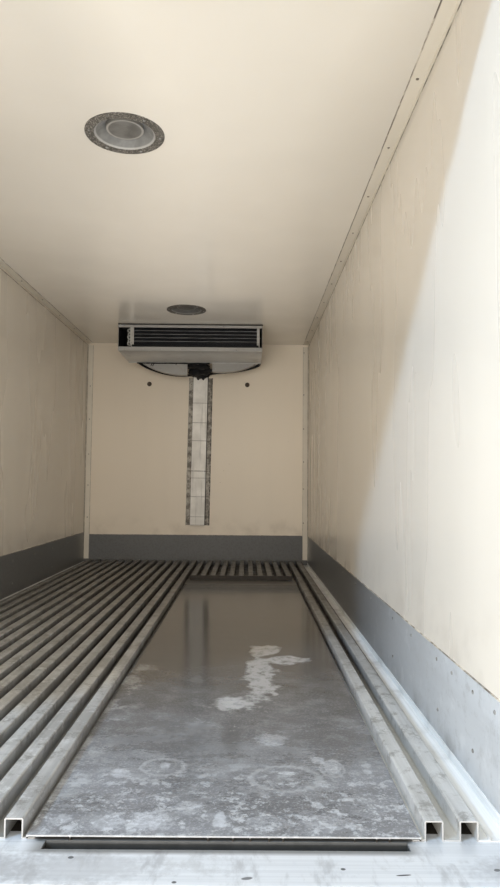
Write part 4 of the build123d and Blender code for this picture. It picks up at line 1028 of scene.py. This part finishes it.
# %% Plugs in the front wall
def dome_shape(name, radius, height, steps=6, sides=18):
    """A shallow dome on the XY plane, spun from a quarter arc."""
    bm = bmesh.new()
    angles = [math.pi / 2 * index / steps for index in range(steps)]
    arc = [bm.verts.new((radius * math.cos(angle), 0, height * math.sin(angle))) for angle in angles]
    arc.append(bm.verts.new((0, 0, height)))
    edges = [bm.edges.new(pair) for pair in zip(arc, arc[1:])]
    turn = {"cent": (0, 0, 0), "axis": (0, 0, 1), "angle": 2 * math.pi}
    bmesh.ops.spin(bm, geom=arc + edges, steps=sides, use_merge=True, **turn)
    bmesh.ops.remove_doubles(bm, verts=bm.verts, dist=1e-6)
    bmesh.ops.holes_fill(bm, edges=[edge for edge in bm.edges if edge.is_boundary])
    bmesh.ops.recalc_face_normals(bm, faces=bm.faces)
    return as_mesh(bm, name)


plug = dome_shape("plug_dome", 0.021, 0.006)
plastic = Finish("plug_plastic", (0.06, 0.04, 0.025), 0.35)
tone = plastic.blend(plastic.patches(60, 5, start=0.35, end=0.7), (0.05, 0.037, 0.026), (0.11, 0.08, 0.052))
plug_plastic = plastic.looks(tone, 0.35, plastic.cloud(300, 3), strength=0.15, depth=0.0003)
plug_places = [on_face((plug_x, front_wall_y, 1.88), (0, -1, 0)) for plug_x in (-0.435, 0.443)]
stamped("wall_plugs", plug, plug_places, plug_plastic, smooth=True)

# %% [markdown]
# ## Coil fins
# A coil is a stack of thin fins, and its dark face shimmers because light catches their edges. A
# striped material would do from far away, but real fins also give the right shadow behind the
# louvres, and one fin has only six faces.

# %% Fins on the coil's face
bm = bmesh.new()
fin_height = coil_high.z - coil_low.z
bmesh.ops.create_cube(bm, size=1, matrix=Matrix.Diagonal((0.0005, 0.007, fin_height - 0.002, 1)))
fin = as_mesh(bm, "fin")
fin_y = coil_low.y + 0.0066
fin_low_x, fin_high_x = coil_low.x + 0.044, coil_high.x - 0.006
fin_pitch = 0.0055
fin_count = int((fin_high_x - fin_low_x) / fin_pitch)
fin_level = (coil_low.z + coil_high.z) / 2
fin_xs = [fin_low_x + fin_pitch * index for index in range(fin_count)]
fin_places = [Matrix.Translation((fin_x, fin_y, fin_level)) for fin_x in fin_xs]
edges = Finish("fin_aluminium", (0.07, 0.07, 0.075), 0.4, metallic=0.6)
tone = edges.blend(edges.patches(14, 6, start=0.4, end=0.7), (0.02, 0.021, 0.025), (0.07, 0.07, 0.075))
fin_aluminium = edges.looks(tone, 0.42, edges.cloud(150), strength=0.1, depth=0.0002)
stamped("coil_fins", fin, fin_places, fin_aluminium)

# %% [markdown]
# ## Fasteners of the evaporator
# Screws hold the pan, the top lip, the louvre frame and the wings.

# %% Screws on the case, the louvre frame and the wings
case_low, case_high = low["evaporator_case"], high["evaporator_case"]
case_places = [(case_low.x + 0.05 + 0.147 * index, case_low.z + 0.021) for index in range(8)]
case_places += [(case_low.x + 0.05 + 0.259 * index, case_high.z - 0.020) for index in range(5)]
case_screws = [on_face((place_x, case_low.y, level), (0, -1, 0)) for place_x, level in case_places]
case_screws += [
    on_face((frame_x, louvre_low.y, coil_high.z - drop), (0, -1, 0))
    for frame_x in (louvre_low.x + 0.015, louvre_high.x - 0.010)
    for drop in (0.012, 0.075, 0.138)
]
wing_y = low["valve_box"].y
wing_drops = {-0.44: 0.232, -0.30: 0.272, -0.10: 0.30, 0.17: 0.272, 0.36: 0.258, 0.50: 0.234}
case_screws += [
    on_face((wing_x, wing_y, ceiling_z - drop), (0, -1, 0)) for wing_x, drop in wing_drops.items()
]
stamped("case_screws", rivet, case_screws, fastener_steel)

# %% [markdown]
# ## Fasteners outside
# The edge rails are riveted to the panels at every 0.15 m. Each row is only its two ends and the way
# it faces. A function spreads the places between the ends, and both sides share one loop.

# %% Rows of rivets on the edges
def row(start, end, pitch):
    """Places from start to end, spread evenly at about one pitch."""
    start, end = Vector(start), Vector(end)
    count = max(1, round((end - start).length / pitch))
    return [start.lerp(end, index / count) for index in range(count + 1)]


rail_x, rear_end, front_end = high["roof_side_rails"].x, ribs_y + 0.04, front_y - 0.12
corner_x, corner_y = high["front_corner_rails"].x, high["front_corner_rails"].y
roof_level, front_level = roof_z + 0.003, roof_z - 0.033
foot, head = low["front_corner_rails"].z + 0.05, high["front_corner_rails"].z - 0.05
beside_y = corner_y - 0.036
edge_rows = []
for sign in signs:
    side_x, top_x = sign * rail_x, sign * (rail_x - 0.036)
    outer_x, front_x = sign * corner_x, sign * (corner_x - 0.036)
    for level in (high["roof_side_rails"].z - 0.036, high["bottom_side_rails"].z - 0.020):
        edge_rows.append(((side_x, rear_end, level), (side_x, front_end, level), (sign, 0, 0)))
    edge_rows += [
        ((top_x, rear_end, roof_level), (top_x, front_end, roof_level), (0, 0, 1)),
        ((outer_x, beside_y, foot), (outer_x, beside_y, head), (sign, 0, 0)),
        ((front_x, corner_y, foot), (front_x, corner_y, head), (0, 1, 0)),
    ]
edge_rows.append(((-0.97, corner_y, front_level), (0.97, corner_y, front_level), (0, 1, 0)))
edge_places = [on_face(point, normal) for start, end, normal in edge_rows for point in row(start, end, 0.15)]
stamped("edge_rivets", rivet, edge_places, fastener_steel)

# %% [markdown]
# ## Marker lamps
# Each lens sits in a black bezel with a screw in each ear. The bezel starts as a flat cube, and
# bevelling only the four edges through its thickness rounds its corners.

# %% Bezels and their screws
bm = bmesh.new()
lamp_low, lamp_high = low["marker_lamps"], high["marker_lamps"]
lamp_z = (lamp_low.z + lamp_high.z) / 2
lamp_x = lamp_high.x - 0.065
bezel_size = Matrix.Diagonal((0.164, 0.005, 0.046, 1))
for sign in signs:
    place = Matrix.Translation((sign * lamp_x, lamp_high.y - 0.0025, lamp_z))
    cube = bmesh.ops.create_cube(bm, size=1, matrix=place @ bezel_size)
    corners = [
        edge
        for edge in {edge for vert in cube["verts"] for edge in vert.link_edges}
        if abs(edge.verts[0].co.y - edge.verts[1].co.y) > 0.004
    ]
    bmesh.ops.bevel(bm, geom=corners, offset=0.010, segments=4, profile=0.5, affect="EDGES")
print("bezels:", len(bm.faces), "faces")
finished(bm, "marker_bezels", seal_skin)
bezel_screws = [
    on_face((sign * lamp_x + ear * 0.0735, lamp_high.y - 0.005, lamp_z), (0, -1, 0))
    for sign in signs
    for ear in (-1, 1)
]
stamped("bezel_screws", screw, bezel_screws, fastener_steel)

# %% [markdown]
# ## Fasteners on the doors
# A door's own frame runs along its leaf, up and out through its face. Its axis and its open angle come
# from the record, so the places are simple numbers on the leaf, and the pieces ride on the door.

# %% Places on a door
def door_place(sign, along, level, out, facing):
    """A place on a door: metres from its hinge axis, above its foot, and out through its face."""
    joint = next(j for j in frame["record"]["behaviour"]["joints"] if j["pos_m"][0] * sign > 0)
    angle = math.radians(joint["range_deg"][1] - 180)
    leaf = Vector((sign * math.cos(angle), math.sin(angle), 0))
    outward = Vector((-sign * math.sin(angle), math.cos(angle), 0))
    point = Vector(joint["pos_m"]) + leaf * along + outward * out
    point.z = low["right_door_frame"].z + level
    return on_face(point, outward * facing)


strap_out, guide_out, liner_out = -0.008, -0.018, -0.102
straps = [(along, level) for level in (0.170, 0.971, 1.772) for along in (0.150, 0.205, 0.260, 0.305)]
guides = [
    (rod + shift, level)
    for rod in (0.560, 0.880)
    for level in (0.150, 0.620, 1.300, 1.790)
    for shift in (-0.027, 0.027)
]
liners = [(along, 0.06 + 0.14 * index) for along in (0.123, 1.067) for index in range(14)]
liners += [(0.20 + 0.13 * index, level) for level in (0.013, 1.929) for index in range(7)]
for side, sign in sides:
    bolts = [door_place(sign, along, level, strap_out, 1) for along, level in straps]
    rivets = [door_place(sign, along, level, guide_out, 1) for along, level in guides]
    liner = [door_place(sign, along, level, liner_out, -1) for along, level in liners]
    stamped(f"{side}_strap_bolts", bolt, bolts, fastener_steel, f"{side}_door")
    stamped(f"{side}_guide_rivets", rivet, rivets, fastener_steel, f"{side}_door")
    stamped(f"{side}_liner_rivets", rivet, liner, fastener_steel, f"{side}_door")

# %% [markdown]
# ## Hoses and lines
# Two thin drain hoses swing in from the case's ends and two insulated lines drop straight from its
# middle. All of them end in the duct. The CAD solids are many-sided, and a real hose is round and has
# no corners, so each is drawn again as a NURBS curve of order 3 along the same route points, given
# a thickness, and stands for its solid. Both its ends are held, so none of them is a free cord.

# %% Hose routes
def hose(name, routes, radius, material, replaced):
    """Round hoses along smooth NURBS lines, in place of a CAD node."""
    line = bpy.data.curves.new(name, "CURVE")
    line.dimensions = "3D"
    line.bevel_depth, line.bevel_resolution, line.resolution_u = radius, 4, 10
    line.use_fill_caps = True
    for route in routes:
        spline = line.splines.new("NURBS")
        spline.points.add(len(route) - 1)
        for point, place in zip(spline.points, route):
            point.co = (*place, 1.0)
        spline.order_u = 3
        spline.use_endpoint_u = True
        spline.use_smooth = True
    line.materials.append(material)
    piece = bpy.data.objects.new(name, line)
    scene.collection.objects.link(piece)
    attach(piece, "box")
    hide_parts(replaced)
    print(name, "has", len(routes), "runs")


def from_case(start_x, rise, route, end_x):
    """Leaves the case's rear side square, follows its route and drops into the duct."""
    start = Vector((start_x, case_high.y, ceiling_z - 0.218 + rise))
    middle = [Vector((place_x, front_wall_y - gap, ceiling_z - drop)) for place_x, gap, drop in route]
    mouth = Vector((end_x, front_wall_y - 0.024, duct_high.z + 0.030))
    return [start, start + Vector((0, 0.032, 0)), *middle, mouth, mouth - Vector((0, 0, 0.09))]


left_route = ((-0.478, 0.198, 0.226), (-0.395, 0.180, 0.265), (-0.270, 0.128, 0.297), (-0.110, 0.054, 0.301))
right_route = ((0.549, 0.198, 0.224), (0.470, 0.180, 0.251), (0.330, 0.134, 0.271), (0.165, 0.072, 0.273))
drain_runs = [
    from_case(case_low.x + 0.070, 0.012, left_route, duct_top_x - 0.050),
    from_case(case_high.x - 0.014, 0.012, right_route, duct_top_x + 0.050),
]
hose("drain_hose_runs", drain_runs, 0.011, hose_skin, "drain_hoses")
line_runs = [
    from_case(duct_top_x + sign * 0.050, 0.034, (), duct_top_x + sign * 0.021) for sign in signs
]
hose("insulated_line_runs", line_runs, 0.020, hose_skin, "refrigerant_lines")

# %% Ties round the drain hoses
tie = head_shape("tie", 0.0128, 0.005, 14, 1.0, 0.0)
tie_places = []
for run in drain_runs:
    for link in (2, 4, 5):
        start, end = run[link], run[link + 1]
        tie_places.append(on_face(start.lerp(end, 0.5), end - start))
stamped("hose_ties", tie, tie_places, hose_skin)

# %% [markdown]
# Where the lines meet the duct they are wrapped in black foam and tape, in a lump of no clear shape.
# A ball is stretched and pushed about by noise for each lump, and small tags of tape hang from it.

# %% Taped joints
lumps = (
    # x, distance from the front wall, drop below the ceiling, half sizes
    (-0.012, 0.115, 0.268, (0.060, 0.045, 0.046)),
    (0.060, 0.125, 0.262, (0.058, 0.045, 0.042)),
    (0.112, 0.140, 0.264, (0.036, 0.022, 0.014)),
    (-0.078, 0.165, 0.240, (0.045, 0.030, 0.016)),
    (0.028, 0.085, 0.292, (0.062, 0.030, 0.036)),
    (-0.030, 0.200, 0.236, (0.060, 0.050, 0.020)),
    (0.052, 0.200, 0.240, (0.066, 0.050, 0.024)),
    (-0.150, 0.190, 0.230, (0.060, 0.028, 0.010)),
)
bm = bmesh.new()
for lump_x, gap, drop, half_sizes in lumps:
    centre = Vector((lump_x, front_wall_y - gap, ceiling_z - drop))
    place = Matrix.Translation(centre) @ Matrix.Diagonal((*half_sizes, 1))
    ball = bmesh.ops.create_icosphere(bm, subdivisions=3, radius=1, matrix=place)
    for vert in ball["verts"]:
        vert.co += (vert.co - centre) * 0.30 * noise.noise(vert.co * 38)
print("taped joints:", len(bm.faces), "faces")
finished(bm, "taped_joints", hose_skin, smooth=True)

bm = bmesh.new()
tags = (
    # x, drop below the ceiling, length, lean
    (-0.362, 0.238, 0.036, 0.45),
    (-0.378, 0.240, 0.026, 0.5),
    (-0.168, 0.232, 0.022, 0.1),
    (0.075, 0.262, 0.03, -0.6),
)
for tag_x, drop, length, lean in tags:
    centre = Matrix.Translation((tag_x, case_high.y - 0.006, ceiling_z - drop))
    turned = centre @ Matrix.Rotation(lean, 4, "Y") @ Matrix.Diagonal((0.007, 0.002, length, 1))
    tag = bmesh.ops.create_cube(bm, size=1, matrix=turned)
    tag_edges = list({edge for vert in tag["verts"] for edge in vert.link_edges})
    bmesh.ops.bevel(bm, geom=tag_edges, offset=0.0006, affect="EDGES")
print("tape tags:", len(bm.faces), "faces")
finished(bm, "tape_tags", hose_skin)

# %% [markdown]
# ## Sealant
# Wherever two sheets meet, someone has run a bead of sealant along the joint. It is never quite even.
# A small six-sided ring is extruded again and again along the joint, and each new ring is made a
# little thicker or thinner than the last one.


# %% Beads along the joints
def bead(bm, start, end, radius, pitch=0.09):
    """A hand-laid bead from start to end."""
    start, end = Vector(start), Vector(end)
    run = end - start
    steps = max(2, round(run.length / pitch))
    lean = run.to_track_quat("Z", "Y").to_matrix().to_4x4()
    place = Matrix.Translation(start) @ lean
    ring = bmesh.ops.create_circle(bm, cap_ends=True, segments=6, radius=radius, matrix=place)
    face = ring["verts"][0].link_faces[0]
    thickness = 1.0
    for step in range(steps):
        grown = bmesh.ops.extrude_face_region(bm, geom=[face])["geom"]
        face = next(part for part in grown if isinstance(part, bmesh.types.BMFace))
        bmesh.ops.translate(bm, vec=run / steps, verts=face.verts)
        wanted = random.uniform(0.75, 1.25)
        centre = Matrix.Translation(-face.calc_center_median())
        bmesh.ops.scale(bm, vec=Vector((1, 1, 1)) * wanted / thickness, space=centre, verts=face.verts)
        thickness = wanted


random.seed(7)
sealant = Finish("joint_sealant", (0.34, 0.30, 0.25), 0.5)
tone = sealant.blend(sealant.patches(26, 7, start=0.38, end=0.65), (0.16, 0.135, 0.11), (0.50, 0.45, 0.38))
joint_sealant = sealant.looks(tone, 0.5, sealant.cloud(120, 4), strength=0.3, depth=0.0006)
# Black beads run under the pan's rear edge and along the case's top edges, against the ceiling.
bm = bmesh.new()
strip_y, strip_z = case_high.y - 0.006, case_low.z - 0.003
bead(bm, (-0.50, strip_y, strip_z), (0.12, strip_y, strip_z), 0.006, 0.03)
seam_z = ceiling_z - 0.002
bead(bm, (case_low.x, case_low.y, seam_z), (case_high.x, case_low.y, seam_z), 0.0035, 0.05)
for end_x in (case_low.x, case_high.x):
    bead(bm, (end_x, case_low.y, seam_z), (end_x, case_high.y, seam_z), 0.0035, 0.05)
bmesh.ops.recalc_face_normals(bm, faces=bm.faces)
finished(bm, "black_case_beads", hose_skin, smooth=True)

bm = bmesh.new()
strip_x, strip_z = inner_x - 0.045, low["ceiling_trims"].z
near_y, far_y = ribs_y + 0.01, front_wall_y - 0.03
for side, sign in sides:
    edge_x, wall_x, top = sign * strip_x, sign * inner_x, high[f"{side}_kick_plate"].z
    bead(bm, (edge_x, near_y, ceiling_z), (edge_x, front_wall_y - 0.01, ceiling_z), 0.0022)
    bead(bm, (wall_x, near_y, strip_z), (wall_x, far_y, strip_z), 0.0022)
    bead(bm, (wall_x, ribs_y + 0.005, top), (wall_x, far_y, top), 0.0028)
front_top = high["front_kick_plate"].z
bead(bm, (-inner_x + 0.05, front_wall_y, front_top), (inner_x - 0.05, front_wall_y, front_top), 0.0028)
for flank in (-1, 1):
    ends = [(duct_x(level) + flank * 0.104, front_wall_y, level) for level in (duct_low.z, duct_high.z)]
    bead(bm, *ends, 0.0022)
bmesh.ops.recalc_face_normals(bm, faces=bm.faces)
print("sealant:", len(bm.faces), "faces")
finished(bm, "sealant_beads", joint_sealant, smooth=True)

# %% [markdown]
# ## Doors and the two strong lamps
# All the light of the photograph comes in through the doorway, so the two lamps behind it are far
# stronger than daylight on an open wall. A shut door stands right in front of them and would bleach
# to white. Light linking leaves the door pieces out of those two lamps, and the others light them.

# %% Light linking
door_parts = ("door_panel", "door_frame", "door_gasket", "hinges", "lock_gear")
door_parts += ("strap_bolts", "guide_rivets", "liner_rivets")
door_collection = bpy.data.collections.new("door_pieces")
for side, _ in sides:
    for part in door_parts:
        door_collection.objects.link(bpy.data.objects[f"{side}_{part}"])
for member in door_collection.collection_objects:
    member.light_linking.link_state = "EXCLUDE"
for lamp_name in ("street_light", "ground_light"):
    softboxes[lamp_name].light_linking.receiver_collection = door_collection
